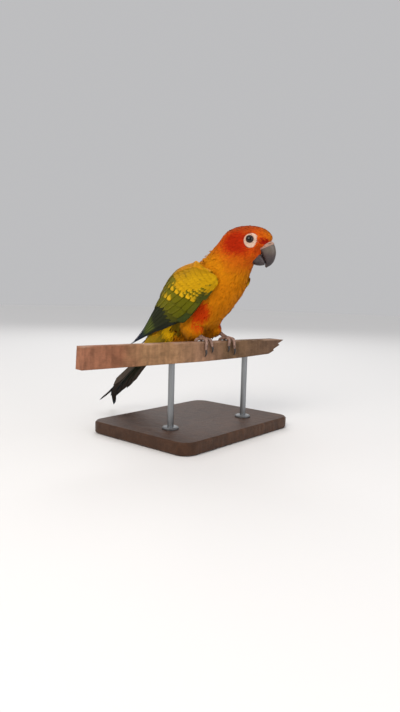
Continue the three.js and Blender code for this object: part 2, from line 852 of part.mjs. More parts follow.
// A rounded limb along a smooth path, with its thickness from even steps
function limbSolid(path, radii, steps, sides, across) {
  const rings = [];
  for (let step = 0; step <= steps; step += 1) {
    const share = step / steps;
    const centre = vector(smoothPoint(path, share));
    const before = vector(smoothPoint(path, share - 0.02));
    const after = vector(smoothPoint(path, share + 0.02));
    const tangent = after.sub(before).normalize();
    const over = new THREE.Vector3().crossVectors(tangent, across).normalize();
    const level = new THREE.Vector3().crossVectors(over, tangent);
    const radius = smoothValue(radii, share);
    const ring = [];
    for (let i = 0; i < sides; i += 1) {
      const turn = (i / sides) * 2 * Math.PI;
      ring.push(
        centre
          .clone()
          .addScaledVector(level, Math.cos(turn) * radius)
          .addScaledVector(over, Math.sin(turn) * radius),
      );
    }
    rings.push(ring);
  }
  return ringSolid(rings);
}

function footSolid(side) {
  const middle = side * FOOT.spacing;
  const rim = LATH.thickness / 2;
  const parts = [];
  const shank = FOOT.shank.map(([forward, along, up]) =>
    lathPoint(forward, middle + side * along, up).toArray(),
  );
  parts.push(limbSolid(shank, FOOT.shankRadii, 6, 9, lathFrame.left));
  for (const { way, root, tip, drop, radius } of TOES) {
    const over = rim + radius + GAP + 0.1;
    const top = radius + GAP + 0.1;
    const at = (share) => middle + side * THREE.MathUtils.lerp(root, tip, share);
    const path = [
      [way * -0.5, at(0), top + 1.2],
      [way * rim * 0.55, at(0.3), top + 0.5],
      [way * (rim + 0.75 * radius), at(0.6), top - 0.9],
      [way * over, at(0.8), -0.45 * drop],
      [way * over, at(1), -drop],
    ];
    const radii = [1.1, 0.95, 1.08, 0.86, 0.9, 0.62].map((share) => share * radius);
    const points = path.map((place) => lathPoint(...place).toArray());
    parts.push(limbSolid(points, radii, 7, 7, lathFrame.left));
    const claw = [
      [way * (over + 0.2), at(0.95), -0.88 * drop],
      [way * (over + 0.9), at(1), -drop - 1.6],
      [way * (over + 0.3), at(1.05), -drop - 4.2],
      [way * (over - 1.2), at(1.1), -drop - 6.2],
    ];
    const clawPoints = claw.map((place) => lathPoint(...place).toArray());
    parts.push(limbSolid(clawPoints, [1.15, 1.05, 0.7, 0.2], 4, 6, lathFrame.left));
  }
  return joined(parts);
}

// Lath, sawn at one end and broken to a splinter at the other, seen from its front face
function lathSolid(swell = 0) {
  const shape = new THREE.Shape(LATH.outline.map(([along, up]) => new THREE.Vector2(along, up)));
  const edge = LATH.edge;
  const geometry = new THREE.ExtrudeGeometry(shape, {
    depth: LATH.thickness + 2 * (swell - edge),
    bevelSize: edge,
    bevelOffset: swell - edge,
    bevelThickness: edge,
    bevelSegments: 1,
  });
  const matrix = new THREE.Matrix4()
    .makeBasis(lathFrame.left, new THREE.Vector3(0, 0, 1), lathFrame.forward)
    .setPosition(lathPoint(-LATH.thickness / 2 - swell + edge, 0, 0));
  return solidFromGeometry(geometry, matrix);
}

// The lath's underside at a distance along it
function lathUnderside(along) {
  const under = LATH.outline.filter(([, up]) => up < -LATH.height + 4).sort((a, b) => a[0] - b[0]);
  const next = under.findIndex(([place]) => place >= along);
  const [from, to] = [under[next - 1], under[next]];
  return THREE.MathUtils.mapLinear(along, from[0], to[0], from[1], to[1]);
}

function baseSolid() {
  const { length, width, thickness, corner, edge } = BASE;
  const [x, y] = [length / 2 - edge, width / 2 - edge];
  const radius = corner - edge;
  const shape = new THREE.Shape();
  shape.absarc(x - radius, y - radius, radius, 0, Math.PI / 2);
  shape.absarc(radius - x, y - radius, radius, Math.PI / 2, Math.PI);
  shape.absarc(radius - x, radius - y, radius, Math.PI, 1.5 * Math.PI);
  shape.absarc(x - radius, radius - y, radius, 1.5 * Math.PI, 2 * Math.PI);
  const geometry = new THREE.ExtrudeGeometry(shape, {
    depth: thickness - 2 * edge,
    bevelSize: edge,
    bevelThickness: edge,
    bevelSegments: 1,
    curveSegments: 5,
  });
  return solidFromGeometry(geometry, new THREE.Matrix4().makeTranslation(0, 0, edge));
}

// A rod with a flange at its foot, up to the lath's underside
function rodSolid(along) {
  const floor = BASE.thickness + GAP;
  const foot = lathPoint(0, along, 0).add(vector(LATH_TOP)).setZ(floor);
  const height = LATH_TOP[2] + lathUnderside(along) - GAP - floor;
  const profile = [
    [0, 0],
    [FLANGE.radius, 0],
    [FLANGE.radius, FLANGE.thickness * 0.6],
    [FLANGE.radius - 1.2, FLANGE.thickness],
    [ROD.radius, FLANGE.thickness],
    [ROD.radius, height],
    [0, height],
  ].map(([radius, up]) => new THREE.Vector2(radius, up));
  const matrix = new THREE.Matrix4().makeRotationX(Math.PI / 2).setPosition(foot);
  return solidFromGeometry(new THREE.LatheGeometry(profile, ROD.sides), matrix);
}

// The model

const trunkClear = trunkSolid([...TORSO_AXIS, HEAD_CUT], 26, GAP);
const headClear = headShape(GAP);
let head = headShape(0);
for (const side of [1, -1]) head = withEyeSocket(head, side).subtract(nostrilCut(side));
const billUpper = upperBill(0);

const bird = new THREE.Group();
bird.position.set(...LATH_TOP);
bird.add(meshOf("torso", trunkSolid(TORSO_AXIS, 20, 0), COLOURS.torso, 0.85));
bird.add(meshOf("neck", trunkSolid([NECK_CUT, HEAD_CUT], 5, 0), COLOURS.neck, 0.85));
bird.add(meshOf("head", head, COLOURS.head, 0.85));
bird.add(meshOf("bill_upper", billUpper.subtract(headClear), COLOURS.bill, 0.4));
const lower = lowerBill(0).subtract(headClear).subtract(upperBill(GAP));
bird.add(meshOf("bill_lower", lower, COLOURS.bill, 0.4));
bird.add(meshOf("tail", tailSolid(), COLOURS.tail, 0.7));
for (const [end, side] of [["left", 1], ["right", -1]]) {
  bird.add(meshOf(`eye_${end}`, eyeSolid(side), COLOURS.eye, 0.1));
  bird.add(meshOf(`wing_${end}`, wingSolid(side).subtract(trunkClear), COLOURS.wing, 0.7));
  const thigh = thighSolid(side).subtract(trunkClear);
  bird.add(meshOf(`thigh_${end}`, thigh, COLOURS.thigh, 0.85));
  const foot = footSolid(side).subtract(thighSolid(side, GAP)).subtract(trunkClear);
  bird.add(meshOf(`foot_${end}`, foot, COLOURS.foot, 0.6));
}
bird.add(meshOf("lath", lathSolid(), COLOURS.lath, 0.8));

const group = new THREE.Group();
group.add(bird);
group.add(meshOf("stand_base", baseSolid(), COLOURS.stand, 0.5));
for (const [name, along] of Object.entries(ROD.places)) {
  group.add(meshOf(`stand_rod_${name}`, rodSolid(along), COLOURS.rod, 0.35, 1));
}

export default group;
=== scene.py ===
# %% [markdown]
# # A sun conure on a cut length of lath
#
# This lesson dresses a measured model of a small parrot. The model comes in as plain solids at
# life size. We keep its sizes and build the real surfaces round it: skin, feathers, horn, scaly
# toes, weathered wood and a simple display stand.

# %% Load the measured solids
import json
import math

import bpy
import numpy as np
from mathutils import Matrix, Vector
from mathutils.bvhtree import BVHTree
from mathutils.kdtree import KDTree

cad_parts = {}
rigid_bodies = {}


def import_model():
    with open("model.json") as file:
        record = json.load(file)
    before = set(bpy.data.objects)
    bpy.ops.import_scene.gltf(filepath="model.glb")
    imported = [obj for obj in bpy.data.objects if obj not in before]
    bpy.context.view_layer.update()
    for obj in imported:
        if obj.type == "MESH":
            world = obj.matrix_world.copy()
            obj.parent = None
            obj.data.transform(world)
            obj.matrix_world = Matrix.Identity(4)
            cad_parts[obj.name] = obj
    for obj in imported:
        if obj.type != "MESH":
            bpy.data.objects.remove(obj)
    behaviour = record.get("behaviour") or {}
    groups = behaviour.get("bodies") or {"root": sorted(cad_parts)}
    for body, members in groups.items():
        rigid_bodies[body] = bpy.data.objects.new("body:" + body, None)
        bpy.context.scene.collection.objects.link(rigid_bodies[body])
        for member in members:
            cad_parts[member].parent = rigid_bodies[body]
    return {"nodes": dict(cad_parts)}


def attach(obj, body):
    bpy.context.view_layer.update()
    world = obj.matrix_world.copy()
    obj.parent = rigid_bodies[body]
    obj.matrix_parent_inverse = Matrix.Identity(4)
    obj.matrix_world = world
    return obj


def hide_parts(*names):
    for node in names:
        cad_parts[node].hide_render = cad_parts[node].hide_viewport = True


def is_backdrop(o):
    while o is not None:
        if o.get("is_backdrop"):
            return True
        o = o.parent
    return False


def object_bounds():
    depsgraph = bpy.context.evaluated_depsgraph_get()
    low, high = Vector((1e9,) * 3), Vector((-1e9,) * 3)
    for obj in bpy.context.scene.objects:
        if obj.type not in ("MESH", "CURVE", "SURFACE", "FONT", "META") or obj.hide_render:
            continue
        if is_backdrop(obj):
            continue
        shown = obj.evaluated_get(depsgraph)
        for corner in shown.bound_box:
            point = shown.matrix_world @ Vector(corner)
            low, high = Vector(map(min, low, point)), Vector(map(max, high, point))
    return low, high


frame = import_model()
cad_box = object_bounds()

MM = 0.001
print("solids:", sorted(frame["nodes"]))

# %% [markdown]
# ## The bird's own frame
#
# A bird is easier to lay out from its feet than from the underside of its stand. All places
# below are in millimetres from the middle of the lath's top face, between the feet: +X the way
# the body faces, +Y to its left, +Z up. One function moves finished points to metres.

# %% Helpers for places and directions
LATH_TOP = np.array([25.0, 0.0, 94.0])
LATH_YAW = math.radians(-9.6)


def to_metres(points):
    return (np.asarray(points) + LATH_TOP) * MM


def directions(pitch, yaw):
    """Forward, left and up vectors for pitches and yaws in degrees."""
    pitch, yaw = np.radians(pitch), np.radians(yaw)
    forward = np.stack([np.cos(pitch) * np.cos(yaw), np.cos(pitch) * np.sin(yaw), np.sin(pitch)], -1)
    left = np.stack([-np.sin(yaw), np.cos(yaw), 0 * yaw], -1)
    return forward, left, np.cross(forward, left)


def smooth_values(values, share):
    """A smooth curve through rows of values at even steps, read at shares from 0 to 1."""
    values = np.asarray(values, float)
    place = np.clip(share, 0, 1) * (len(values) - 1)
    first = np.minimum(np.floor(place).astype(int), len(values) - 2)
    t = place - first
    padded = np.concatenate([2 * values[:1] - values[1:2], values, 2 * values[-1:] - values[-2:-1]])
    a, b, c, d = (padded[first + k] for k in range(4))
    if values.ndim > 1:
        t = t[..., None]
    slope_in, slope_out = (c - a) / 2, (d - b) / 2
    rise = 2 * (b - c) + slope_in + slope_out
    bend = 3 * (c - b) - 2 * slope_in - slope_out
    return ((rise * t + bend) * t + slope_in) * t + b


def ramp(value, start, end):
    """0 before start, 1 after end, and smooth between."""
    t = np.clip((np.asarray(value, float) - start) / (end - start), 0, 1)
    return t * t * (3 - 2 * t)


HEAD_CENTRE = np.array([31.0, 3.0, 93.0])
HEAD_YAW = 31.0
HEAD_FORWARD, HEAD_LEFT, _ = directions(0.0, HEAD_YAW)


def from_head(points):
    """Points given forward, left and up from the head's centre, in the bird's frame."""
    points = np.asarray(points, float)
    forward, left, up = points[..., 0:1], points[..., 1:2], points[..., 2:3]
    return HEAD_CENTRE + forward * HEAD_FORWARD + left * HEAD_LEFT + up * np.array([0, 0, 1.0])


def head_local(points):
    """The other way round: forward, left and up of points in the bird's frame."""
    offset = np.asarray(points) - HEAD_CENTRE
    return np.stack([offset @ HEAD_FORWARD, offset @ HEAD_LEFT, offset[..., 2]], -1)


print("head's centre, mm from the feet:", HEAD_CENTRE)

# %% [markdown]
# ## The outline of the coat
#
# A bird in its feathers is a few egg shapes that melt into one another: rump, belly, breast,
# shoulders, neck and head. We describe the outline as a distance, negative inside, because a
# blend of distances has no seams. A ray that starts inside finds the surface by halving.

# %% Egg shapes and their blend
BODY_FORMS = [
    ([-60, 0, 8.5], 41, 0, [28, 10.5, 9.5]),
    ([-40, 0, 22.2], 43, 0, [30, 17.5, 18]),
    ([-14.6, 0, 42.6], 46, 0, [38, 26, 27.5]),
    ([5.3, 0, 59.9], 54, 0, [28, 24, 24]),
    ([15.5, 0.5, 77.5], 55, 8, [22, 17.6, 19.6]),
]
HEAD_FORMS = [
    ([-3, 0, 2.6], 0, [18.4, 12.3, 14.2]),
    ([12.6, 0, 6.2], -12, [12.6, 9.2, 9.2]),
    ([2, 0, -8], 12, [9.5, 10.5, 8]),
]
THIGH_FORMS = {
    1: [([-21, 12.5, 23], 66, 0, [15, 10.5, 14]), ([-17.0, 14.2, 10.8], 84, 0, [7.8, 6.6, 12])],
    -1: [([-21, -12.5, 23], 66, 0, [15, 10.5, 14]), ([-17.5, -14.2, 10.5], 84, 0, [9.6, 7.8, 12])],
}
BODY_BLEND = 4.0
THIGH_BLEND = 2.5


def blend_of(forms, softness):
    """A distance to egg shapes, given by middle, pitch, yaw and half sizes, melted together."""
    eggs = [(np.array(at, float), np.stack(directions(float(pitch), float(yaw))), np.array(half, float))
            for at, pitch, yaw, half in forms]

    def distance(points):
        total = 0
        for centre, axes, half in eggs:
            local = (points - centre) @ axes.T
            once = np.linalg.norm(local / half, axis=-1)
            twice = np.linalg.norm(local / half**2, axis=-1)
            total = total + np.exp(-once * (once - 1) / np.maximum(twice, 1e-9) / softness)
        return -softness * np.log(total)

    return distance


head_eggs = [(from_head(at), pitch, HEAD_YAW, half) for at, pitch, half in HEAD_FORMS]
egg_distance = blend_of(BODY_FORMS + head_eggs, BODY_BLEND)
LORE_AT, LORE_REACH, LORE_HOLLOW = np.array([12.0, 7.5, -5.5]), np.array([7.0, 6.0, 6.0]), 2.4


def lore_hollow(points):
    """How far the coat sinks in front of each corner of the mouth, where the bill's root shows."""
    local = head_local(points)
    local[..., 1] = np.abs(local[..., 1])
    return LORE_HOLLOW * (1 - ramp(np.linalg.norm((local - LORE_AT) / LORE_REACH, axis=-1), 0.1, 1))


def body_distance(points):
    return egg_distance(points) + lore_hollow(points)


thigh_distance = {side: blend_of(forms, THIGH_BLEND) for side, forms in THIGH_FORMS.items()}
DRAPE = 3.0  # how softly feathers fill the hollow between body and thigh, in mm


def flank_distance(points):
    """Body and thighs together, the hollow between them softly filled as feathers fill it."""
    parts = [body_distance(points), thigh_distance[1](points), thigh_distance[-1](points)]
    lowest = np.minimum(np.minimum(parts[0], parts[1]), parts[2])
    return lowest - DRAPE * np.log(sum(np.exp((lowest - part) / DRAPE) for part in parts))


def hard_flank(points):
    """Body and thighs together, with the hollow left as it is."""
    thighs = np.minimum(thigh_distance[1](points), thigh_distance[-1](points))
    return np.minimum(body_distance(points), thighs)


def reach(distance, start, direction, level=0.0, limit=90.0):
    """How far each ray runs until it is a given distance outside the surface."""
    shape = np.broadcast_shapes(start.shape, direction.shape)[:-1]
    inside, outside = np.zeros(shape), np.full(shape, limit)
    for _ in range(18):
        middle = (inside + outside) / 2
        within = distance(start + direction * middle[..., None]) < level
        inside, outside = np.where(within, middle, inside), np.where(within, outside, middle)
    return (inside + outside) / 2


def outward(distance, points, step=0.2):
    """The unit normal of a distance at points."""
    parts = [distance(points + step * axis) - distance(points - step * axis) for axis in np.eye(3)]
    slope = np.stack(parts, -1)
    return slope / np.linalg.norm(slope, axis=-1, keepdims=True)


print("egg shapes in the body and head:", len(BODY_FORMS) + len(HEAD_FORMS))

# %% [markdown]
# ## A map of the surface
#
# Feathers all lie away from the bill. So we lay a map over the body whose one direction runs
# from the bill over the head and down to the tail, and whose other direction goes round. The
# map is a table of surface points, read in between by weighting four neighbours.

# %% Surface maps


class SurfaceMap:
    """Points and normals on a grid of stations (rows) and turns (columns) round an axis."""

    def __init__(self, distance, stations, rows, columns):
        self.rows, self.columns = rows, columns
        share = np.linspace(0, 1, rows)
        at = smooth_values([station[0] for station in stations], share)
        angles = [[station[k] for station in stations] for k in (1, 2, 3)]
        pitch, yaw, cone = (smooth_values(angle, share) for angle in angles)
        forward, left, up = directions(pitch, yaw)
        turn = np.linspace(0, 2 * np.pi, columns, endpoint=False)[None, :, None]
        cone = np.radians(cone)[:, None, None]
        around = left[:, None] * np.cos(turn) + up[:, None] * np.sin(turn)
        ray = around * np.sin(cone) + forward[:, None] * np.cos(cone)
        start = at[:, None] + 0 * ray
        self.points = start + ray * reach(distance, start, ray)[..., None]
        self.normals = outward(distance, self.points)
        self.step_down = np.linalg.norm(np.gradient(self.points, axis=0), axis=-1)
        self.step_round = np.linalg.norm(np.roll(self.points, -1, 1) - self.points, axis=-1)

    def read(self, table, row, column):
        row = np.clip(row, 0, self.rows - 1.001)
        r, c = np.floor(row).astype(int), np.floor(column).astype(int)
        fr, fc = row - r, column - c
        if table.ndim > 2:
            fr, fc = fr[..., None], fc[..., None]
        c0, c1 = c % self.columns, (c + 1) % self.columns
        return ((1 - fr) * ((1 - fc) * table[r, c0] + fc * table[r, c1])
                + fr * ((1 - fc) * table[r + 1, c0] + fc * table[r + 1, c1]))


BODY_STATIONS = [
    (HEAD_CENTRE + 6 * HEAD_FORWARD, -6, 31, 14),
    (HEAD_CENTRE + 3 * HEAD_FORWARD, -5, 31, 52),
    (HEAD_CENTRE - 1 * HEAD_FORWARD, 2, 31, 84),
    (np.array([26.0, 2.2, 87.5]), 24, 24, 90),
    (np.array([20.0, 1.0, 81.0]), 42, 14, 90),
    (np.array([9.0, 0.0, 67.0]), 47, 2, 90),
    (np.array([-3.0, 0.0, 57.0]), 46, 0, 90),
    (np.array([-15.0, 0.0, 46.0]), 46, 0, 90),
    (np.array([-30.0, 0.0, 33.0]), 44, 0, 92),
    (np.array([-43.0, 0.0, 22.0]), 43, 0, 96),
    (np.array([-54.0, 0.0, 13.0]), 42, 0, 104),
    (np.array([-62.0, 0.0, 6.0]), 42, 0, 140),
    (np.array([-64.0, 0.0, 4.0]), 42, 0, 176),
]
body_map = SurfaceMap(body_distance, BODY_STATIONS, 300, 180)
print("body map", body_map.points.shape, "mm across:", np.round(np.ptp(body_map.points, axis=(0, 1)), 1))

# %% [markdown]
# ## Selecting as by hand
#
# Operators work on what is selected, so small functions do what clicks would: select one piece,
# run an operator on all of it, apply a modifier, or join pieces. Others count a mesh's
# triangles, read its points and normals, and paint its marking.

# %% Selecting, editing and measuring


def deselect():
    for item in bpy.context.selected_objects:
        item.select_set(False)


def place_only(piece):
    """Selects one piece and makes it active, as a click on it would."""
    deselect()
    piece.select_set(True)
    bpy.context.view_layer.objects.active = piece


def edit_all(piece, operator, **settings):
    """Runs one edit operator on the whole of a piece."""
    place_only(piece)
    bpy.ops.object.mode_set(mode="EDIT")
    bpy.ops.mesh.select_all(action="SELECT")
    operator(**settings)
    bpy.ops.object.mode_set(mode="OBJECT")


def apply_modifier(piece, kind, **settings):
    place_only(piece)
    modifier = piece.modifiers.new(kind.lower(), kind)
    for name, value in settings.items():
        setattr(modifier, name, value)
    bpy.ops.object.modifier_apply(modifier=modifier.name)


def joined(pieces, name):
    """Several pieces as one, under one name."""
    deselect()
    for piece in pieces:
        piece.select_set(True)
    bpy.context.view_layer.objects.active = pieces[0]
    bpy.ops.object.join()
    pieces[0].name = pieces[0].data.name = name
    return pieces[0]


def triangles_in(*pieces):
    return sum(len(face.vertices) - 2 for piece in pieces for face in piece.data.polygons)


def mesh_points(mesh):
    """A mesh's points in the bird's frame."""
    flat = np.empty(len(mesh.vertices) * 3)
    mesh.vertices.foreach_get("co", flat)
    return flat.reshape(-1, 3) / MM - LATH_TOP


def mesh_normals(mesh):
    flat = np.empty(len(mesh.vertices) * 3)
    mesh.vertices.foreach_get("normal", flat)
    return flat.reshape(-1, 3)


def set_marking(mesh, colours):
    """Paints a linear colour on each point, which the materials read."""
    layer = mesh.color_attributes.new("marking", "FLOAT_COLOR", "POINT")
    layer.data.foreach_set("color", np.column_stack([colours, np.ones(len(colours))]).ravel())


print("solids, triangles:", triangles_in(*frame["nodes"].values()))

# %% [markdown]
# ## Meshes from arrays
#
# Thousands of feathers are far too many to model by hand. We shape one, then lay copies of it
# as arrays of points, and join them in one mesh. Each feather is a thin closed leaf: an upper
# face and an under face that share their rim.

# %% Mesh helpers


def mesh_object(name, points, faces, colours, bake_uv=None):
    """A smooth mesh object from points in the bird's frame and faces of four or three corners."""
    mesh = bpy.data.meshes.new(name)
    mesh.from_pydata(to_metres(points).tolist(), [], np.asarray(faces).tolist())
    mesh.polygons.foreach_set("use_smooth", np.ones(len(mesh.polygons), bool))
    set_marking(mesh, colours)
    if bake_uv is not None:
        corner = np.zeros(len(mesh.loops), int)
        mesh.loops.foreach_get("vertex_index", corner)
        mesh.uv_layers.new(name="OFBake").data.foreach_set("uv", bake_uv[corner].ravel())
    mesh.validate()
    piece = bpy.data.objects.new(name, mesh)
    bpy.context.scene.collection.objects.link(piece)
    return piece


def leaf_template(rows, columns):
    """Row and column of each point, which points form the under face, and the faces of a leaf."""
    top = np.arange(rows * columns).reshape(rows, columns)
    under = top.copy()
    inner = (rows - 2) * (columns - 2)
    under[1:-1, 1:-1] = rows * columns + np.arange(inner).reshape(rows - 2, columns - 2)
    row, column = np.divmod(top.ravel(), columns)
    inner_row, inner_column = np.divmod(top[1:-1, 1:-1].ravel(), columns)
    # both faces are split alike, and in each corner through the inner point, so they never cross
    near_root = np.arange(rows - 1)[:, None] < (rows - 1) / 2
    near_left = np.arange(columns - 1)[None] < (columns - 1) / 2
    one_way = (near_root == near_left).ravel()[:, None]
    faces = []
    for grid, flip in ((top, False), (under, True)):
        corners = (grid[:-1, :-1], grid[1:, :-1], grid[1:, 1:], grid[:-1, 1:])
        a, b, c, d = (corner.reshape(-1, 1) for corner in corners)
        first = np.where(one_way, np.hstack([a, b, c]), np.hstack([a, b, d]))
        second = np.where(one_way, np.hstack([a, c, d]), np.hstack([b, c, d]))
        triangles = np.concatenate([first, second])
        faces.append(triangles[:, ::-1] if flip else triangles)
    below = np.concatenate([np.zeros(rows * columns), np.ones(inner)])
    row, column = np.concatenate([row, inner_row]), np.concatenate([column, inner_column])
    return row, column, below, np.concatenate(faces)


def joined_faces(faces, count, per_copy):
    """The faces of one leaf, repeated for many copies of its points."""
    return (faces[None] + (np.arange(count) * per_copy)[:, None, None]).reshape(-1, faces.shape[1])


def closed_tube(rings):
    """Points and faces of a tube of rings, closed by a fan at each end."""
    rings = np.asarray(rings, float)
    count, sides = rings.shape[:2]
    points = np.concatenate([rings.reshape(-1, 3), rings[:1].mean(1), rings[-1:].mean(1)])
    grid = np.arange(count * sides).reshape(count, sides)
    turned = np.roll(grid, -1, 1)
    round_it = np.stack([grid[:-1], turned[:-1], turned[1:], grid[1:]], -1).reshape(-1, 4).tolist()
    first = [[count * sides, b, a] for a, b in zip(grid[0], turned[0])]
    last = [[count * sides + 1, a, b] for a, b in zip(grid[-1], turned[-1])]
    return points, round_it + first + last


def tube_object(name, rings):
    """A tube of rings as an object, with its faces turned outwards."""
    points, faces = closed_tube(rings)
    mesh = bpy.data.meshes.new(name)
    mesh.from_pydata(to_metres(points).tolist(), [], faces)
    mesh.polygons.foreach_set("use_smooth", np.ones(len(mesh.polygons), bool))
    piece = bpy.data.objects.new(name, mesh)
    bpy.context.scene.collection.objects.link(piece)
    edit_all(piece, bpy.ops.mesh.normals_make_consistent, inside=False)
    return piece


print("faces of a leaf of 5 by 5 points:", len(leaf_template(5, 5)[3]))

# %% [markdown]
# ## Colours and nodes
#
# Every finish below is a small tree of nodes. Colours are written as sRGB hex values, as a
# paint chart gives them, and one function turns them to the linear values that Blender mixes.
# One function fills or links a node's inputs, and one adds a node with its settings and links.

# %% Colour and node helpers


def linear(code):
    """An sRGB hex value as three linear numbers."""
    parts = np.array([int(code[k:k + 2], 16) for k in (0, 2, 4)]) / 255
    return np.where(parts <= 0.04045, parts / 12.92, ((parts + 0.055) / 1.055) ** 2.4)


def rgba(code):
    return (*linear(code), 1.0)


def fill(tree, node, inputs):
    """Gives a node's inputs values or links them to other nodes' outputs."""
    for name, value in inputs.items():
        if isinstance(value, bpy.types.NodeSocket):
            tree.links.new(value, node.inputs[name])
        else:
            node.inputs[name].default_value = value


def add_node(tree, kind, inputs=None, stops=(), **settings):
    """Adds a node with its properties, its inputs and, on a colour ramp, its stops."""
    node = tree.nodes.new("ShaderNode" + kind)
    for name, value in settings.items():
        setattr(node, name, value)
    fill(tree, node, inputs or {})
    while stops and len(node.color_ramp.elements) < len(stops):
        node.color_ramp.elements.new(0.5)
    for index, (position, code) in enumerate(stops):
        node.color_ramp.elements[index].position = position
        node.color_ramp.elements[index].color = rgba(code)
    return node


def new_material(name):
    """A material with an empty surface shader, its tree and that shader."""
    material = bpy.data.materials.new(name)
    material.use_nodes = True
    tree = material.node_tree
    tree.nodes.clear()
    shader = add_node(tree, "BsdfPrincipled")
    add_node(tree, "OutputMaterial", {"Surface": shader.outputs["BSDF"]})
    return material, tree, shader


def object_places(tree):
    """Places on the object itself, in metres, so a pattern stays put on it."""
    return add_node(tree, "TexCoord").outputs["Object"]


def mix(first, second, share):
    """Colours between two, by a share for each point."""
    return first + (second - first) * np.asarray(share)[..., None]


print("the hex grey 808080 is linear", np.round(linear("808080"), 3))

# %% [markdown]
# ## Camera
#
# The photograph was taken from the bird's right, a little below its head, with a phone's wide
# lens. Lines known to be upright and the bird's known sizes gave the camera's place. We copy
# that place, its slight tilt and its slight roll, so the part is framed as in the photograph.

# %% Camera
CAMERA_AT = (359.0, -421.0, 135.0)
CAMERA_HEADING = (-0.643, 0.766)
CAMERA_DIP = math.radians(6.0)
CAMERA_ROLL = math.radians(1.54)
FOCAL_PIXELS, FRAME_HEIGHT, SENSOR = 540.0, 712.0, 36.0

ahead = Vector((*CAMERA_HEADING, 0)).normalized()
level_right = ahead.cross(Vector((0, 0, 1)))
view_axis = ahead * math.cos(CAMERA_DIP) - Vector((0, 0, math.sin(CAMERA_DIP)))
level_up = level_right.cross(view_axis)
camera_right = level_right * math.cos(CAMERA_ROLL) + level_up * math.sin(CAMERA_ROLL)
camera_up = camera_right.cross(view_axis)
camera_data = bpy.data.cameras.new("photo_camera")
camera_data.sensor_width = SENSOR
camera_data.lens = FOCAL_PIXELS / FRAME_HEIGHT * SENSOR
camera_data.clip_start = 0.01
camera = bpy.data.objects.new("photo_camera", camera_data)
bpy.context.scene.collection.objects.link(camera)
camera.matrix_world = Matrix.Translation(Vector(CAMERA_AT) * MM) @ Matrix(
    (camera_right, camera_up, -view_axis)).transposed().to_4x4()
bpy.context.scene.camera = camera
print("lens in mm:", round(camera_data.lens, 2))

# %% [markdown]
# ## Floor and light
#
# The model stands on a plain pale board. Large soft lights keep the feathers' colours clear and
# their shadows open.

# %% Floor
FLOOR_ACROSS, FLOOR_DROP = 12.0, 0.0002

deselect()
bpy.ops.mesh.primitive_plane_add(size=FLOOR_ACROSS, location=(0, 0, -FLOOR_DROP))
floor = bpy.context.object
floor.name = "studio_floor"
bpy.ops.object.transform_apply(location=True, rotation=False, scale=False)
# Matt painted board: pale, with no gloss that would mirror the model
floor_paint, tree, shader = new_material("matt_painted_board")
noise = add_node(tree, "TexNoise", {"Vector": object_places(tree), "Scale": 0.25, "Detail": 2.0})
tint = add_node(tree, "ValToRGB", {"Fac": noise.outputs["Fac"]}, stops=[(0.0, "E2E1E0"), (1.0, "E6E5E4")])
fill(tree, shader, {"Base Color": tint.outputs["Color"], "Roughness": 0.9})
floor.data.materials.append(floor_paint)
floor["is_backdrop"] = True
print("floor in metres:", FLOOR_ACROSS)

# %% [markdown]
# Soft round lights stand beside the camera, in front of the bird and behind it. One wide light
# over everything evens out the far floor, so no dark band shows behind.

# %% Lights


def area_light(name, at, target, size, watts, colour):
    lamp = bpy.data.lights.new(name, "AREA")
    lamp.shape, lamp.size, lamp.energy = "DISK", size, watts
    lamp.color = linear(colour)
    lamp_object = bpy.data.objects.new(name, lamp)
    bpy.context.scene.collection.objects.link(lamp_object)
    lamp_object.location = at
    direction = Vector(target) - Vector(at)
    lamp_object.rotation_euler = direction.to_track_quat("-Z", "Y").to_euler()


BIRD_MIDDLE = (0.02, 0.0, 0.14)
area_light("key", (0.35, -1.15, 0.95), BIRD_MIDDLE, 0.8, 12.5, "FFF8F0")
area_light("fill", (1.3, 0.1, 0.6), BIRD_MIDDLE, 1.0, 4.5, "F6F8FF")
area_light("back", (-0.9, 0.9, 1.2), BIRD_MIDDLE, 0.9, 7.0, "FFFFFF")
overhead = bpy.data.lights.new("overhead", "SUN")
overhead.energy, overhead.angle = 0.45, math.radians(120)
overhead_object = bpy.data.objects.new("overhead", overhead)
bpy.context.scene.collection.objects.link(overhead_object)
world = bpy.data.worlds.new("studio_air")
world.use_nodes = True
fill(world.node_tree, world.node_tree.nodes["Background"], {"Color": rgba("E4E4E6"), "Strength": 0.66})
bpy.context.scene.world = world
bpy.context.scene.view_settings.view_transform = "Standard"
print("lights:", sorted(lamp.name for lamp in bpy.data.lights))

# %% [markdown]
# ## The bird's markings
#
# A sun conure is golden, with orange-red on the face and lower flanks and a paler, greener
# yellow under the tail. The colours run softly into one another. So we paint them by place:
# a base colour and a list of soft spots, each with a middle, a reach and a colour. The skin and
# each feather ask the same function for their colour, so both carry the same markings.

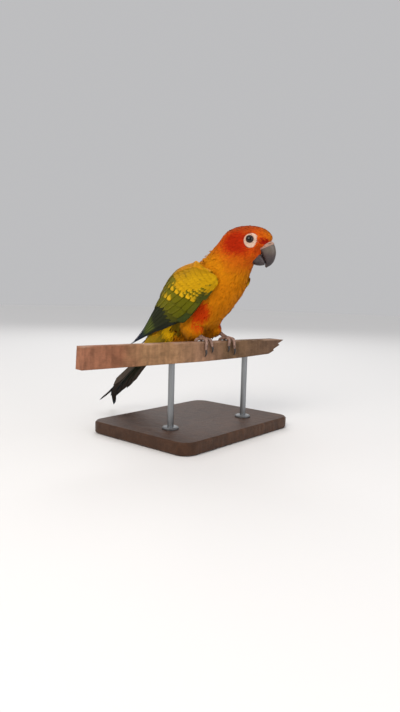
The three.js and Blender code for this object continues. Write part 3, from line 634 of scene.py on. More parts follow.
# %% Markings by place
HEAD_SPOTS = [
    # middle (forward, left, up from the head's centre), reach, colour, strength
    ((-2, 0, 0), (26, 22, 22), "CA4A0A", 1.0),
    # the crown is painted darker than the face: painted shade on the top of the head
    ((-1, 0, 14), (19, 11, 6.5), "A8441A", 0.75),
    ((-8, 11, 0), (12, 9, 11), "A82002", 0.95),
    ((-8, -11, 0), (12, 9, 11), "A82002", 0.95),
    ((17, 0, 10), (5, 7, 4), "B4621A", 0.75),
    ((17.6, 0, 2.4), (6.5, 20, 3.4), "960C02", 0.95),
    ((3, 0, -15), (9, 12, 7), "C4560A", 0.6),
    ((-9, 12, -19), (10, 10, 9), "C4600A", 0.55),
    ((-9, -12, -19), (10, 10, 9), "C4600A", 0.55),
]
BODY_SPOTS = [
    # middle in the bird's frame, reach, colour, strength
    ((6, 0, 45), (32, 32, 28), "D07804", 0.8),
    ((-4, -20, 27), (9, 9, 13), "C83A02", 1.0),
    ((-4, 20, 27), (9, 9, 13), "C83A02", 1.0),
    # the two thighs are painted unlike, to undo how the light falls: the right, lit one darker, a painted
    # shade, and the left, shaded one paler, a painted light
    ((-22, -14, 8), (12, 10, 11), "A4660E", 0.9),
    ((-22, 14, 8), (12, 10, 11), "EE9420", 1.0),
    ((-70, 0, 0), (22, 17, 13), "98801C", 0.95),
    ((-78, 0, 8), (14, 12, 7), "6E6A10", 0.7),
    ((-98, 0, -19), (24, 20, 18), "7C7014", 0.9),
    ((-38, -18, 13), (9, 7, 8), "66600A", 0.85),
    ((-38, 18, 13), (9, 7, 8), "66600A", 0.85),
    ((-54, -14, 7), (7.5, 7.5, 7.5), "F6C008", 1.0),
    ((-54, 14, 7), (7.5, 7.5, 7.5), "F6C008", 1.0),
]
GOLD = "D48408"
SPOT_FULL, SPOT_END = 0.7, 1.45  # shares of a spot's reach where it starts to fade and is gone


def plumage_colour(points):
    """The coat's linear colour at points in the bird's frame."""
    colour = np.broadcast_to(linear(GOLD), points.shape).copy()
    for places, spots in ((points, BODY_SPOTS), (head_local(points), HEAD_SPOTS)):
        for middle, size, code, strength in spots:
            far = np.linalg.norm((places - np.array(middle, float)) / np.array(size, float), axis=-1)
            colour = mix(colour, linear(code), (1 - ramp(far, SPOT_FULL, SPOT_END)) * strength)
    return colour


print("spots on the head:", len(HEAD_SPOTS), "and on the body:", len(BODY_SPOTS))

# %% [markdown]
# ## Plumage
#
# A feather is keratin: thousands of fine barbs side by side, which look soft and slightly
# silky. One function makes the finish of the soft body feathers and that of the firmer vanes.
# Both take their colour from the marking, and their slanted barb lines from where a point lies
# on its own feather.

# %% Plumage material
BARB_SPACING_MM = 0.42  # real barbs stand about 0.3 mm apart, drawn a little coarser to show


def plumage_material(name, roughness, gloss, barb_depth):
    """Feather keratin: soft sheen, fine slanted barbs, colour by the marking."""
    material, tree, shader = new_material(name)
    marking = add_node(tree, "Attribute", attribute_name="marking")
    place = add_node(tree, "Attribute", attribute_name="barb")
    parts = add_node(tree, "SeparateXYZ", {"Vector": place.outputs["Vector"]})
    beside = add_node(tree, "Math", {0: parts.outputs["X"]}, operation="ABSOLUTE")
    slanted = add_node(tree, "Math", {0: beside.outputs[0], 1: 0.8, 2: parts.outputs["Y"]},
                       operation="MULTIPLY_ADD")
    turn = add_node(tree, "Math", {0: slanted.outputs[0], 1: 2 * math.pi / BARB_SPACING_MM},
                    operation="MULTIPLY")
    wave = add_node(tree, "Math", {0: turn.outputs[0]}, operation="SINE")
    mottle = add_node(tree, "TexNoise", {"Vector": object_places(tree), "Scale": 420.0,
                                         "Detail": 3.0, "Roughness": 0.6})
    uneven = add_node(tree, "MapRange", {"Value": mottle.outputs["Fac"], "From Min": 0.3,
                                         "From Max": 0.7, "To Min": 0.94, "To Max": 1.06})
    lines = add_node(tree, "MapRange", {"Value": wave.outputs[0], "From Min": -1.0, "From Max": 1.0,
                                        "To Min": 0.93, "To Max": 1.05})
    strength = add_node(tree, "Math", {0: uneven.outputs[0], 1: lines.outputs[0]}, operation="MULTIPLY")
    colour = add_node(tree, "VectorMath", {0: marking.outputs["Color"], "Scale": strength.outputs[0]},
                      operation="SCALE")
    bump = add_node(tree, "Bump", {"Height": wave.outputs[0], "Distance": barb_depth * MM,
                                   "Strength": 0.5})
    fill(tree, shader, {"Base Color": colour.outputs["Vector"], "Normal": bump.outputs["Normal"],
                        "Roughness": roughness, "Specular IOR Level": gloss,
                        "Sheen Weight": 0.01, "Sheen Roughness": 0.5})
    return material


down = plumage_material("contour_feather_keratin", 0.8, 0.08, 0.02)
vane = plumage_material("flight_feather_keratin", 0.6, 0.06, 0.05)
print("feather materials:", down.name, vane.name)

# %% [markdown]
# ## Skin
#
# Under the feathers the bird is one skin, so seams between head, neck, body and legs would look
# wrong in any gap. We copy the measured solids, swell them a hair so that they overlap, join
# them and let a voxel remesh melt them into one. Then we pull the skin in by the coat's depth.

# %% Skin from the measured solids
SWELL_MM, VOXEL_MM, MERGE_MM = 0.35, 1.3, 0.01
FLESH = ["torso", "neck", "head", "thigh_left", "thigh_right"]
BODY_DEPTH, HEAD_LESS, FACE_LESS, THIGH_MORE = 2.1, 0.9, 0.55, 1.4
LEFT_THIGH_AT, LEFT_THIGH_REACH = np.array([-17.0, 14.0, 9.0]), np.array([14.0, 11.0, 14.0])
SHADED_UNDER_COAT = 0.75


def coat_depth(points):
    """How deep the skin lies under the coat's outline: least on the face."""
    local = head_local(points)
    on_head = 1 - ramp(np.linalg.norm(local, axis=-1), 16, 34)
    on_face = ramp(local[..., 0], 2, 14) * on_head
    from_thigh = np.linalg.norm((points - LEFT_THIGH_AT) / LEFT_THIGH_REACH, axis=-1)
    on_thigh = 1 - ramp(from_thigh, 0.7, 1.3)
    return BODY_DEPTH - HEAD_LESS * on_head - FACE_LESS * on_face + THIGH_MORE * on_thigh


copies = []
for name in FLESH:
    place_only(frame["nodes"][name])
    bpy.ops.object.duplicate()
    copy = bpy.context.object
    edit_all(copy, bpy.ops.mesh.remove_doubles, threshold=MERGE_MM * MM)
    apply_modifier(copy, "DISPLACE", strength=SWELL_MM * MM, mid_level=0.0)
    copies.append(copy)
skin = joined(copies, "skin")
skin.data.materials.clear()
apply_modifier(skin, "REMESH", mode="VOXEL", voxel_size=VOXEL_MM * MM, use_smooth_shade=True)
apply_modifier(skin, "SMOOTH", factor=0.5, iterations=4)

points = mesh_points(skin.data)
depth = coat_depth(points) + lore_hollow(points) + SWELL_MM
points = points - mesh_normals(skin.data) * depth[:, None]
skin.data.vertices.foreach_set("co", to_metres(points).ravel())
skin.data.update()
set_marking(skin.data, plumage_colour(points) * SHADED_UNDER_COAT)
skin.data.materials.append(down)
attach(skin, "root")
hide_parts(*FLESH)
print("skin faces:", len(skin.data.polygons))

# %% [markdown]
# ## Laying the coat
#
# Body feathers are small, soft and thickly laid, each over the ones behind it. Every feather is
# rooted on the skin and rises to the coat's outline at its tip. Roots are scattered evenly, a
# set distance apart, and that distance is smallest on the face and greatest on the rump.

# %% Scattering roots and shaping feathers
rng = np.random.default_rng(41)
ROOT_GAP = 0.8  # least distance between roots, as a share of the spacing there


def scatter(surface, spacing, wanted, tries):
    """Roots spread evenly on a surface map: rows, columns, points and flow directions."""
    weight = (surface.step_down * surface.step_round)[:-1] * wanted(surface.points[:-1])
    weight = weight / spacing(surface.points[:-1]) ** 2
    cell = rng.choice(weight.size, tries, p=weight.ravel() / weight.sum())
    row, column = np.divmod(cell, surface.columns)
    row, column = row + rng.random(tries), column + rng.random(tries)
    points = surface.read(surface.points, row, column)
    apart = spacing(points) * ROOT_GAP
    tree = KDTree(tries)
    for index, point in enumerate(points):
        tree.insert(point, index)
    tree.balance()
    free = np.ones(tries, bool)
    kept = []
    for index in range(tries):
        if free[index]:
            kept.append(index)
            for _, other, _ in tree.find_range(points[index], apart[index]):
                free[other] = False
    row, column, points = row[kept], column[kept], points[kept]
    after, before = (surface.read(surface.points, row + step, column) for step in (1.5, -1.5))
    flow = after - before
    return row, column, points, flow / np.linalg.norm(flow, axis=-1, keepdims=True)


def feather_colours(places):
    """The marking at each place, a little uneven from feather to feather."""
    strayed = places + rng.normal(0, 1.1, places.shape)
    return plumage_colour(strayed) * rng.normal(1, 0.045, len(places))[:, None]


def bake_places(surface, row, column):
    """Each root's place on an unwrap of the skin: round the body and along it."""
    return np.column_stack([column / surface.columns % 1, row / surface.rows]) * 0.99 + 0.005


print("seeded, first draw of a copy:", round(np.random.default_rng(41).random(), 4))

# %% [markdown]
# ## Shaping a feather
#
# A body feather is a soft leaf, widest past its middle. Its root sinks in the skin and its tip
# lifts a little. No two are alike, so each is turned, bent and frayed by a small random amount.
# Its shading is bent towards the coat's own, because real feathers melt into one soft coat.

# %% Leaves of the coat
COAT_SOFTNESS = 0.8
TURN_SPREAD, BEND_SPREAD, FRAY_SPREAD = 0.1, 0.05, 0.06
TIP_ROUND, CUPPED, LEAF_THICK, SHADE_AT_ROOT = 0.16, 0.12, 0.07, 0.08
BAKE_PATCH = 0.0014  # half of a feather's patch on the bake map, which is about 0.003 across


def leaf_width(t):
    """Half width along a feather as a share of its greatest."""
    return np.sqrt(np.clip(1 - ((t - 0.55) / 0.5) ** 2 * np.where(t > 0.55, 1.0, 0.45), 0.02, 1))


def soften(mesh, facing, share):
    """Bends the mesh's shading towards the coat's own, so soft feathers melt into one coat."""
    own = mesh_normals(mesh)
    mixed = own * (1 - share)[:, None] + facing * share[:, None]
    mesh.normals_split_custom_set_from_vertices(
        (mixed / np.linalg.norm(mixed, axis=-1, keepdims=True)).tolist())


def feather_mesh(name, distance, roots, flow, length, width, depth, lift, colours, bake, droop=0.0,
                 rows=5, columns=5):
    """Thin closed feathers laid along a surface, joined in one mesh."""
    row, column, below, faces = leaf_template(rows, columns)
    t, across = row / (rows - 1), column / (columns - 1) * 2 - 1
    rim = (row == 0) | (row == rows - 1) | (column == 0) | (column == columns - 1)
    count = len(roots)
    normal = outward(distance, roots)
    flow = flow - normal * np.sum(flow * normal, -1, keepdims=True)
    flow = flow / np.linalg.norm(flow, axis=-1, keepdims=True)
    turn = rng.normal(0, TURN_SPREAD, count)[:, None]
    side = np.cross(normal, flow)
    flow, side = flow * np.cos(turn) + side * np.sin(turn), side * np.cos(turn) - flow * np.sin(turn)
    frayed = rng.normal(0, FRAY_SPREAD, (count, columns))[:, column]
    y = length[:, None] * (t - TIP_ROUND * across**2 * t**3 + frayed * t**3)
    bend = rng.normal(0, BEND_SPREAD, count)[:, None]
    x = width[:, None] * across * leaf_width(t) + bend * length[:, None] * t**2
    points = roots[:, None] + flow[:, None] * y[..., None] + side[:, None] * x[..., None]
    steep = outward(distance, points)
    points = points - steep * distance(points)[..., None]
    rise = -depth[:, None] * (1 - t) ** 1.4 + lift[:, None] * t**2
    rise = rise - CUPPED * width[:, None] * across**2 - LEAF_THICK * below * (1 - 0.5 * t)
    points = points + steep * rise[..., None]
    points[..., 2] -= np.broadcast_to(droop, count)[:, None] * t**2
    # each feather is painted darker towards its root, as shade under the feathers that lie over it
    root_shade_factor = 1 - SHADE_AT_ROOT * (1 - np.tile(t, count) ** 0.7)
    colours = np.repeat(colours, len(t), 0) * root_shade_factor[:, None]
    on_patch = np.column_stack([np.tile(across, count), np.tile(2 * t - 1, count)])
    uv = np.repeat(bake, len(t), 0) + on_patch * BAKE_PATCH
    piece = mesh_object(name, points.reshape(-1, 3), joined_faces(faces, count, len(t)), colours, uv)
    barb = piece.data.attributes.new("barb", "FLOAT_VECTOR", "POINT")
    seed = np.repeat(rng.random(count), len(t))
    barb.data.foreach_set("vector", np.column_stack([x.ravel(), y.ravel(), seed]).ravel())
    facing = steep * np.where(below > 0, -1.0, 1.0)[:, None]
    soften(piece.data, facing.reshape(-1, 3), np.tile(np.where(rim, 1.0, COAT_SOFTNESS), count))
    return piece


print("half widths along a feather:", np.round(leaf_width(np.linspace(0, 1, 5)), 2))

# %% [markdown]
# ## Bill
#
# The bill is bone under a sheath of horn. Each half is a run of oval sections between its outer
# edge and its cutting edge, so the hook and the notch come from two curves seen from the side.

# %% Bill
UPPER_CULMEN = [[18, 5], [25.6, 2.4], [28.6, -5.4], [27.8, -12.6], [25, -17.6], [20.4, -20.7]]
UPPER_CUTTING = [[7, -3.8], [11, -5.2], [14.8, -8.2], [17.2, -12], [18.6, -16], [19, -20.2]]
UPPER_HALF = [6.8, 6.9, 6.2, 5.0, 3.4, 1.0]
LOWER_CUTTING = [[6, -5], [11, -5.8], [15.4, -9], [18.8, -14.6]]
LOWER_UNDER = [[2, -13.5], [8, -17.8], [13.4, -19], [18.2, -18.4]]
LOWER_HALF = [6.6, 6.4, 5.6, 3.6]
BILL_SIDES, LEAST_HALF = 40, 0.3


def bill_ring(outer, inner, half_widths, share, sides, swell=0.0):
    """One oval section of a bill half, from its outer edge to its inner one."""
    a, b = smooth_values(outer, share), smooth_values(inner, share)
    middle, half = (a + b) / 2, (a - b) / 2
    size = max(np.linalg.norm(half), LEAST_HALF)
    direction = half / np.linalg.norm(half)
    wide = max(smooth_values(half_widths, share), LEAST_HALF) + swell
    turn = np.linspace(0, 2 * np.pi, sides, endpoint=False)
    across = np.sign(np.sin(turn)) * np.abs(np.sin(turn)) ** 0.8 * wide
    spots = middle + np.cos(turn)[:, None] * (size + swell) * direction
    return from_head(np.column_stack([spots[:, 0], across, spots[:, 1]]))


print("upper bill, mm along its outer edge:",
      round(float(np.linalg.norm(np.diff(np.array(UPPER_CULMEN), axis=0), axis=1).sum()), 1))

# %% [markdown]
# Horn grows in faint layers. The marking gives its tones by place: the front of the upper half is
# painted paler, as a highlight, and the tip darker; fine noises add the layers and the scuffs that
# dull its gloss.

# %% Horn and the two halves
horn, tree, shader = new_material("bill_horn_keratin")
marking = add_node(tree, "Attribute", attribute_name="marking")
# growth layers about 1.2 mm apart, and scuffs about 0.7 mm long that break up the gloss
layers = add_node(tree, "TexNoise", {"Vector": object_places(tree), "Scale": 300.0, "Detail": 4.0})
shade = add_node(tree, "ValToRGB", {"Fac": layers.outputs["Fac"]},
                 stops=[(0.35, "241C1E"), (0.7, "5A4E48")])
tinted = add_node(tree, "Mix", {"Factor": 0.3, "A": marking.outputs["Color"],
                                "B": shade.outputs["Color"]}, data_type="RGBA")
scuffs = add_node(tree, "TexNoise", {"Vector": object_places(tree), "Scale": 1400.0, "Detail": 3.0})
rough = add_node(tree, "MapRange", {"Value": scuffs.outputs["Fac"], "To Min": 0.3, "To Max": 0.55})
bump = add_node(tree, "Bump", {"Height": layers.outputs["Fac"], "Distance": 0.0001, "Strength": 0.4})
fill(tree, shader, {"Base Color": tinted.outputs["Result"], "Roughness": rough.outputs[0],
                    "Normal": bump.outputs["Normal"], "IOR": 1.54})

bill_halves = []
for name, outer, inner, halves, rows in (
        ("bill_upper", UPPER_CULMEN, UPPER_CUTTING, UPPER_HALF, 40),
        ("bill_lower", LOWER_CUTTING, LOWER_UNDER, LOWER_HALF, 30)):
    rings = [bill_ring(outer, inner, halves, share, BILL_SIDES) for share in np.linspace(0.04, 1, rows)]
    piece = tube_object(name + "_horn", rings)
    ahead_of, _, above = head_local(mesh_points(piece.data)).T
    if name == "bill_upper":
        # the front of the upper half is painted paler: a painted highlight
        colour = mix(linear("40302F"), linear("62564A"), ramp(ahead_of, 13, 21) * ramp(above, -11, -5))
        colour = mix(colour, linear("241A1E"), 1 - ramp(above, -16, -9))
    else:
        colour = mix(linear("2A1C20"), linear("34282C"), ramp(above, -18, -10))
    set_marking(piece.data, colour)
    piece.data.materials.append(horn)
    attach(piece, "root")
    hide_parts(name)
    bill_halves.append(piece)
print("bill triangles:", triangles_in(*bill_halves))

# %% [markdown]
# ## Cere
#
# A narrow band of bare, pinkish skin, the cere, runs over the root of the upper bill, with the
# nostrils in it. It is the bill's own section swollen a little, so it sits close to the horn.

# %% Cere
pale_skin, tree, shader = new_material("bare_facial_skin")
marking = add_node(tree, "Attribute", attribute_name="marking")
# fine skin creases, about 0.4 mm apart, over a soft unevenness of tone about 2 mm across
creases = add_node(tree, "TexVoronoi", {"Vector": object_places(tree), "Scale": 2400.0},
                   feature="DISTANCE_TO_EDGE")
soft = add_node(tree, "TexNoise", {"Vector": object_places(tree), "Scale": 500.0, "Detail": 3.0})
tone = add_node(tree, "ValToRGB", {"Fac": soft.outputs["Fac"]}, stops=[(0.3, "A07868"), (0.65, "D6BCA8")])
blush = add_node(tree, "Mix", {"Factor": 0.3, "A": marking.outputs["Color"], "B": tone.outputs["Color"]},
                 data_type="RGBA")
bump = add_node(tree, "Bump", {"Height": creases.outputs["Distance"], "Distance": 0.0001,
                               "Strength": 0.4})
fill(tree, shader, {"Base Color": blush.outputs["Result"], "Normal": bump.outputs["Normal"],
                    "Roughness": 0.65, "Subsurface Weight": 0.1,
                    "Subsurface Radius": (0.0012, 0.0005, 0.0003)})

CERE_FROM, CERE_TO, CERE_ROWS, CERE_SIDES = 0.13, 0.25, 16, 96
NOSTRIL_SHARE, NOSTRIL_TURN, NOSTRIL_LONG, NOSTRIL_WIDE = 0.195, 52.0, 0.016, 11.0
CERE_HIGH, CERE_SUNK, NOSTRIL_DEEP = 0.55, 0.12, 0.9
rings, tones = [], []
turn = np.linspace(0, 2 * np.pi, CERE_SIDES, endpoint=False)
above = (1 + np.cos(turn)) / 2
for share in np.linspace(CERE_FROM, CERE_TO, CERE_ROWS):
    base = bill_ring(UPPER_CULMEN, UPPER_CUTTING, UPPER_HALF, share, CERE_SIDES)
    swollen = bill_ring(UPPER_CULMEN, UPPER_CUTTING, UPPER_HALF, share, CERE_SIDES, 1.0)
    place = (share - CERE_FROM) / (CERE_TO - CERE_FROM)
    height = CERE_HIGH * np.sqrt(np.clip(1 - (2 * place - 1) ** 4, 0, 1)) - CERE_SUNK
    offset = (np.degrees(np.minimum(turn, 2 * np.pi - turn)) - NOSTRIL_TURN) / NOSTRIL_WIDE
    nostril = np.exp(-offset**2 - ((share - NOSTRIL_SHARE) / NOSTRIL_LONG) ** 2)
    factor = height * (0.5 + 0.5 * above) - NOSTRIL_DEEP * nostril
    rings.append(base + (swollen - base) * factor[:, None])
    # the nostrils are painted dark, as shade in their openings
    tones.append(mix(linear("8E6656"), linear("2E1A16"), np.clip(1.3 * nostril, 0, 1)))
tones = np.concatenate(tones + [tones[0].mean(0, keepdims=True), tones[-1].mean(0, keepdims=True)])
cere = tube_object("cere", rings)
set_marking(cere.data, tones)
cere.data.materials.append(pale_skin)
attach(cere, "root")
print("cere triangles:", triangles_in(cere))

# %% [markdown]
# ## Where the coat leaves off
#
# No feathers grow on the bill, on the bare ring round each eye, or where the folded wing lies
# over the side. Round the ring the feathers part and lie along its rim, and those in front of
# it are cut short, as on the real face.

# %% Bare places
EYE_AT = (4.4, 4.4)
EYE_RADIUS, EYE_SUNK = 4.4, 2.8
RING_RADIUS, RING_SHIFT = 7.1, (2.0, -1.0)
WING_WRIST = np.array([22.0, 62.0])
WING_PITCH = math.radians(-28.6)
WING_ALONG = [0, 6, 25, 50, 65, 82, 104, 124, 150]
WING_LOWER = [-0.5, -5.5, -12.5, -19.4, -18.6, -14, -8, -4, 0.2]
WING_UPPER = [4, 13, 29.5, 37.5, 36, 29.5, 20, 11.5, 3]
BACKWARD = np.array([-math.cos(WING_PITCH), math.sin(WING_PITCH)])
UPWARD = np.array([math.sin(WING_PITCH), math.cos(WING_PITCH)])
BILL_MARGIN = 0.0001


def eye_frame(side):
    """The surface point over an eye, the outward normal, and forward and up along the skin."""
    start = from_head([EYE_AT[0], 0, EYE_AT[1]])
    ray = HEAD_LEFT * side
    surface = start + ray * reach(body_distance, start, ray)
    normal = outward(body_distance, surface)
    front = HEAD_FORWARD - normal * (HEAD_FORWARD @ normal)
    front = front / np.linalg.norm(front)
    up = np.cross(normal, front)
    return surface, normal, front, up * np.sign(up[2])


eyes = {side: eye_frame(side) for side in (1, -1)}


def ring_offset(points, side):
    """Places over the ring's middle, forward and up along the skin."""
    surface, _, front, up = eyes[side]
    middle = surface + front * RING_SHIFT[0] + up * RING_SHIFT[1]
    return np.stack([(points - middle) @ front, (points - middle) @ up], -1)


def ring_distance(points):
    """How far points of the head lie from the middle of the nearer eye's ring."""
    side = np.where(head_local(points)[..., 1] > 0, 1, -1)
    both = [np.linalg.norm(ring_offset(points, s), axis=-1) for s in (1, -1)]
    near = np.where(side > 0, both[0], both[1])
    return np.where(np.linalg.norm(head_local(points), axis=-1) < 30, near, 99.0)


def surface_tree(piece):
    """A piece's faces, sorted so that the nearest one is found fast."""
    mesh = piece.data
    return BVHTree.FromPolygons([v.co for v in mesh.vertices], [p.vertices[:] for p in mesh.polygons])


face_parts = [surface_tree(piece) for piece in (cere, *bill_halves)]


def under_bill(points):
    """Whether points lie in the bill or the cere."""
    local = head_local(points)
    near = (local[..., 0] > 3) & (np.linalg.norm(local, axis=-1) < 36)
    inside = np.zeros(near.shape, bool)
    for index in zip(*np.nonzero(near)):
        place = Vector(to_metres(points[index]))
        for tree in face_parts:
            nearest, facing, _, _ = tree.find_nearest(place)
            if (place - nearest).dot(facing) < BILL_MARGIN:
                inside[index] = True
    return inside


def under_wing(points):
    """Whether points of the side are covered by the folded wing, well within its edges."""
    offset = points[..., [0, 2]] - WING_WRIST
    along, across = offset @ BACKWARD, offset @ UPWARD
    lower = np.interp(along, WING_ALONG, WING_LOWER)
    upper = np.interp(along, WING_ALONG, WING_UPPER)
    inside = (across > lower + 5) & (across < upper - 5) & (along > 4) & (along < 110)
    return inside & (np.abs(points[..., 1]) > 7)


def bare(points):
    return under_bill(points) | (ring_distance(points) < RING_RADIUS + 0.2) | under_wing(points)


def part_round_ring(points, flow, length):
    """Turns feathers along the ring's rim and cuts short those that point at it."""
    near = ring_distance(points)
    flow, length = flow.copy(), length.copy()
    for side in (1, -1):
        _, _, front, up = eyes[side]
        offset = ring_offset(points, side)
        inward = -(offset[:, :1] * front + offset[:, 1:] * up) / np.maximum(near[:, None], 1e-6)
        mine = (near < 14) & (np.sign(head_local(points)[:, 1]) == side)
        towards = np.sum(flow * inward, -1)
        share = (1 - ramp(near, RING_RADIUS, 12)) * 0.75
        turned = flow - inward * (np.maximum(towards, 0) * share)[:, None]
        flow = np.where(mine[:, None], turned, flow)
        room = (near - RING_RADIUS + 0.5) / np.maximum(towards * (1 - share), 0.15)
        length = np.where(mine & (towards > 0), np.minimum(length, np.maximum(room, 1.1)), length)
    return flow / np.linalg.norm(flow, axis=-1, keepdims=True), length


print("eyes apart, mm:", round(float(np.linalg.norm(eyes[1][0] - eyes[-1][0])), 1))

# %% [markdown]
# ## The coat
#
# Feathers are smallest on the face and longest on the belly, where they hang to the lath. So
# each gets its length, width, lift and colour by its place, and a little by chance.

# %% Body coat


def body_spacing(points):
    """Distance between roots in mm, by place."""
    local = head_local(points)
    reach_out = np.linalg.norm(local, axis=-1)
    behind = 1 - ramp(local[..., 0] + 0.3 * local[..., 2], -4, 16)
    head = 0.82 + 0.34 * behind
    return np.where(reach_out < 60, head + (1.8 - head) * ramp(reach_out, 16, 62), 1.8)


def hangs_loose(points):
    """1 on the belly and vent behind the thighs, whose long soft feathers hang to the lath."""
    low = 1 - ramp(outward(body_distance, points)[..., 2], -0.55, 0.1)
    return low * ramp(points[..., 0], -74, -62) * (1 - ramp(points[..., 0], -22, -8))


TRIES = 200000
INSIDE_MM = -1.5
NAPE_AT, NAPE_REACH, NAPE_SHARE = np.array([-4.0, -6.0, 84.0]), 14.0, 0.12
STRAY_SHARE, FILL_LIMIT = 0.03, 2.5
row, column, roots, flow = scatter(body_map, body_spacing, lambda p: np.where(bare(p), 0.0, 1.0), TRIES)
on_thigh = np.minimum(thigh_distance[1](roots), thigh_distance[-1](roots)) < INSIDE_MM
keep = ~bare(roots) & ~on_thigh
row, column, roots, flow = row[keep], column[keep], roots[keep], flow[keep]
spacing = body_spacing(roots)
loose = hangs_loose(roots)
length = (spacing * rng.uniform(3.9, 5.0, len(roots)) + 1.0) * (1 + 0.5 * loose)
flow, length = part_round_ring(roots, flow, length)
width = spacing * rng.uniform(0.62, 0.82, len(roots))
filled = hard_flank(roots) - flank_distance(roots)
depth = np.minimum(coat_depth(roots), 0.42 * length) + np.clip(filled, 0, FILL_LIMIT)
lift = rng.uniform(0.0, 0.3, len(roots)) * spacing / 2
stray = rng.random(len(roots)) < STRAY_SHARE
lift = lift + stray * rng.uniform(0.2, 0.5, len(roots)) * spacing
# a few feathers of the nape stand up, as in the photograph
on_nape = np.linalg.norm(roots - NAPE_AT, axis=-1) < NAPE_REACH
on_nape = on_nape & (rng.random(len(roots)) < NAPE_SHARE)
lift = lift + on_nape * rng.uniform(0.8, 2.0, len(roots))
droop = loose * rng.uniform(0.5, 6.5, len(roots))
colours = feather_colours(roots + flow * length[:, None] * 0.8)
bake = bake_places(body_map, row, column)
print("body feathers:", len(roots))

# %% [markdown]
# The map's rows part the coat into pieces: face, crown and cheeks, neck, breast, back, belly and
# rump, each in a left and a right half. Each piece is one mesh, small enough to handle.

# %% Pieces of the body coat
station = row / (body_map.rows - 1) * (len(BODY_STATIONS) - 1)
upper_half = np.sin(2 * np.pi * column / body_map.columns) > 0.1
regions = {
    "coat_face": station < 1.6,
    "coat_crown": (station >= 1.6) & (station < 3.2),
    "coat_neck": (station >= 3.2) & (station < 4.7),
    "coat_back": (station >= 4.7) & (station < 8.5) & upper_half,
    "coat_breast": (station >= 4.7) & (station < 8.5) & ~upper_half,
    "coat_rump": (station >= 8.5) & upper_half,
    "coat_belly": (station >= 8.5) & ~upper_half,
}
on_left = np.cos(2 * np.pi * column / body_map.columns) > 0
for name, region in regions.items():
    for half, chosen in (("left", region & on_left), ("right", region & ~on_left)):
        small = name in ("coat_face", "coat_crown")
        parts = [part[chosen] for part in (roots, flow, length, width, depth, lift, colours, bake, droop)]
        piece = feather_mesh(f"{name}_{half}", flank_distance, *parts, rows=4 if small else 5)
        piece.data.materials.append(down)
        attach(piece, "root")
        print(piece.name, "feathers:", int(chosen.sum()), "triangles:", triangles_in(piece))

# %% [markdown]
# ## Thighs
#
# A perched parrot fluffs its thigh feathers down over its ankles like short trousers. Each thigh
# gets its own map, whose direction runs down to the foot.

# %% Thigh coats
THIGH_AXIS = np.array([-19, 13.6, 16])
THIGH_SPACING, SMALL_TRIES = 1.6, 16000
SELDOM = 0.02  # how often a root is tried where it would be hidden
for side, end in ((1, "left"), (-1, "right")):
    middle = THIGH_AXIS * (1, side, 1)
    stations = [(middle, 80, 0, cone) for cone in (12, 50, 90, 130, 168)]
    thigh_map = SurfaceMap(thigh_distance[side], stations, 80, 90)
    row, column, roots, flow = scatter(
        thigh_map, lambda p: THIGH_SPACING + 0 * p[..., 0],
        lambda p: np.where((body_distance(p) < INSIDE_MM) | under_wing(p), SELDOM, 1.0), SMALL_TRIES)
    keep = (body_distance(roots) > INSIDE_MM) & ~under_wing(roots)
    row, column, roots, flow = row[keep], column[keep], roots[keep], flow[keep]
    count = len(roots)
    colours = feather_colours(roots)
    low = 1 - ramp(roots[:, 2], 2, 18)
    loose = low * (1 - ramp(roots[:, 0], -16, -9))
    filled = np.clip(hard_flank(roots) - flank_distance(roots), 0, FILL_LIMIT)
    piece = feather_mesh("coat_thigh_" + end, flank_distance, roots, flow,
                         rng.uniform(6.5, 8.5, count) * (1 + 0.35 * loose), rng.uniform(1.0, 1.35, count),
                         1.9 + filled, rng.uniform(0, 0.4, count) * (1 + 2 * low), colours,
                         bake_places(thigh_map, row, column), loose * rng.uniform(0.5, 5.0, count))
    piece.data.materials.append(down)
    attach(piece, "root")
    print("thigh", end, "feathers:", count)

# %% [markdown]
# ## Folded wings
#
# A folded wing is a stack of tiers, each lying over the roots of the next: lesser, median and
# greater coverts, secondaries and the long primaries that make the wing's tip. Each vane is a
# thin curved blade with a raised shaft. We describe a place on the wing by its distance from
# the wrist, its share from the lower edge to the upper one, and its level over the underside.

# %% Places on a wing
WING_OUTWARD = [27, 29.5, 31.8, 32.6, 31.4, 28, 22.5, 17, 11.5]
WING_TO_ANGLE = [10, 28, 58, 68, 70, 70, 70, 70, 70]
WING_FROM_ANGLE, WING_DEPTH, WING_CLEAR = -25.0, 3.4, 1.0
TUCK_LESS, TUCK_SHARE, TUCK_LEVEL = 3.1, 0.8, 3.5


def at_along(values, along):
    """Values given at WING_ALONG, read smoothly anywhere along the wing."""
    place = np.interp(along, WING_ALONG, np.arange(len(WING_ALONG)))
    return smooth_values(np.array(values, float), place / (len(WING_ALONG) - 1))


def tucked(along, share):
    """1 at the wing's bend, whose lower edge sinks in the breast's side feathers."""
    return (1 - ramp(share, 0.0, 0.22)) * (1 - ramp(along, 16, 40))


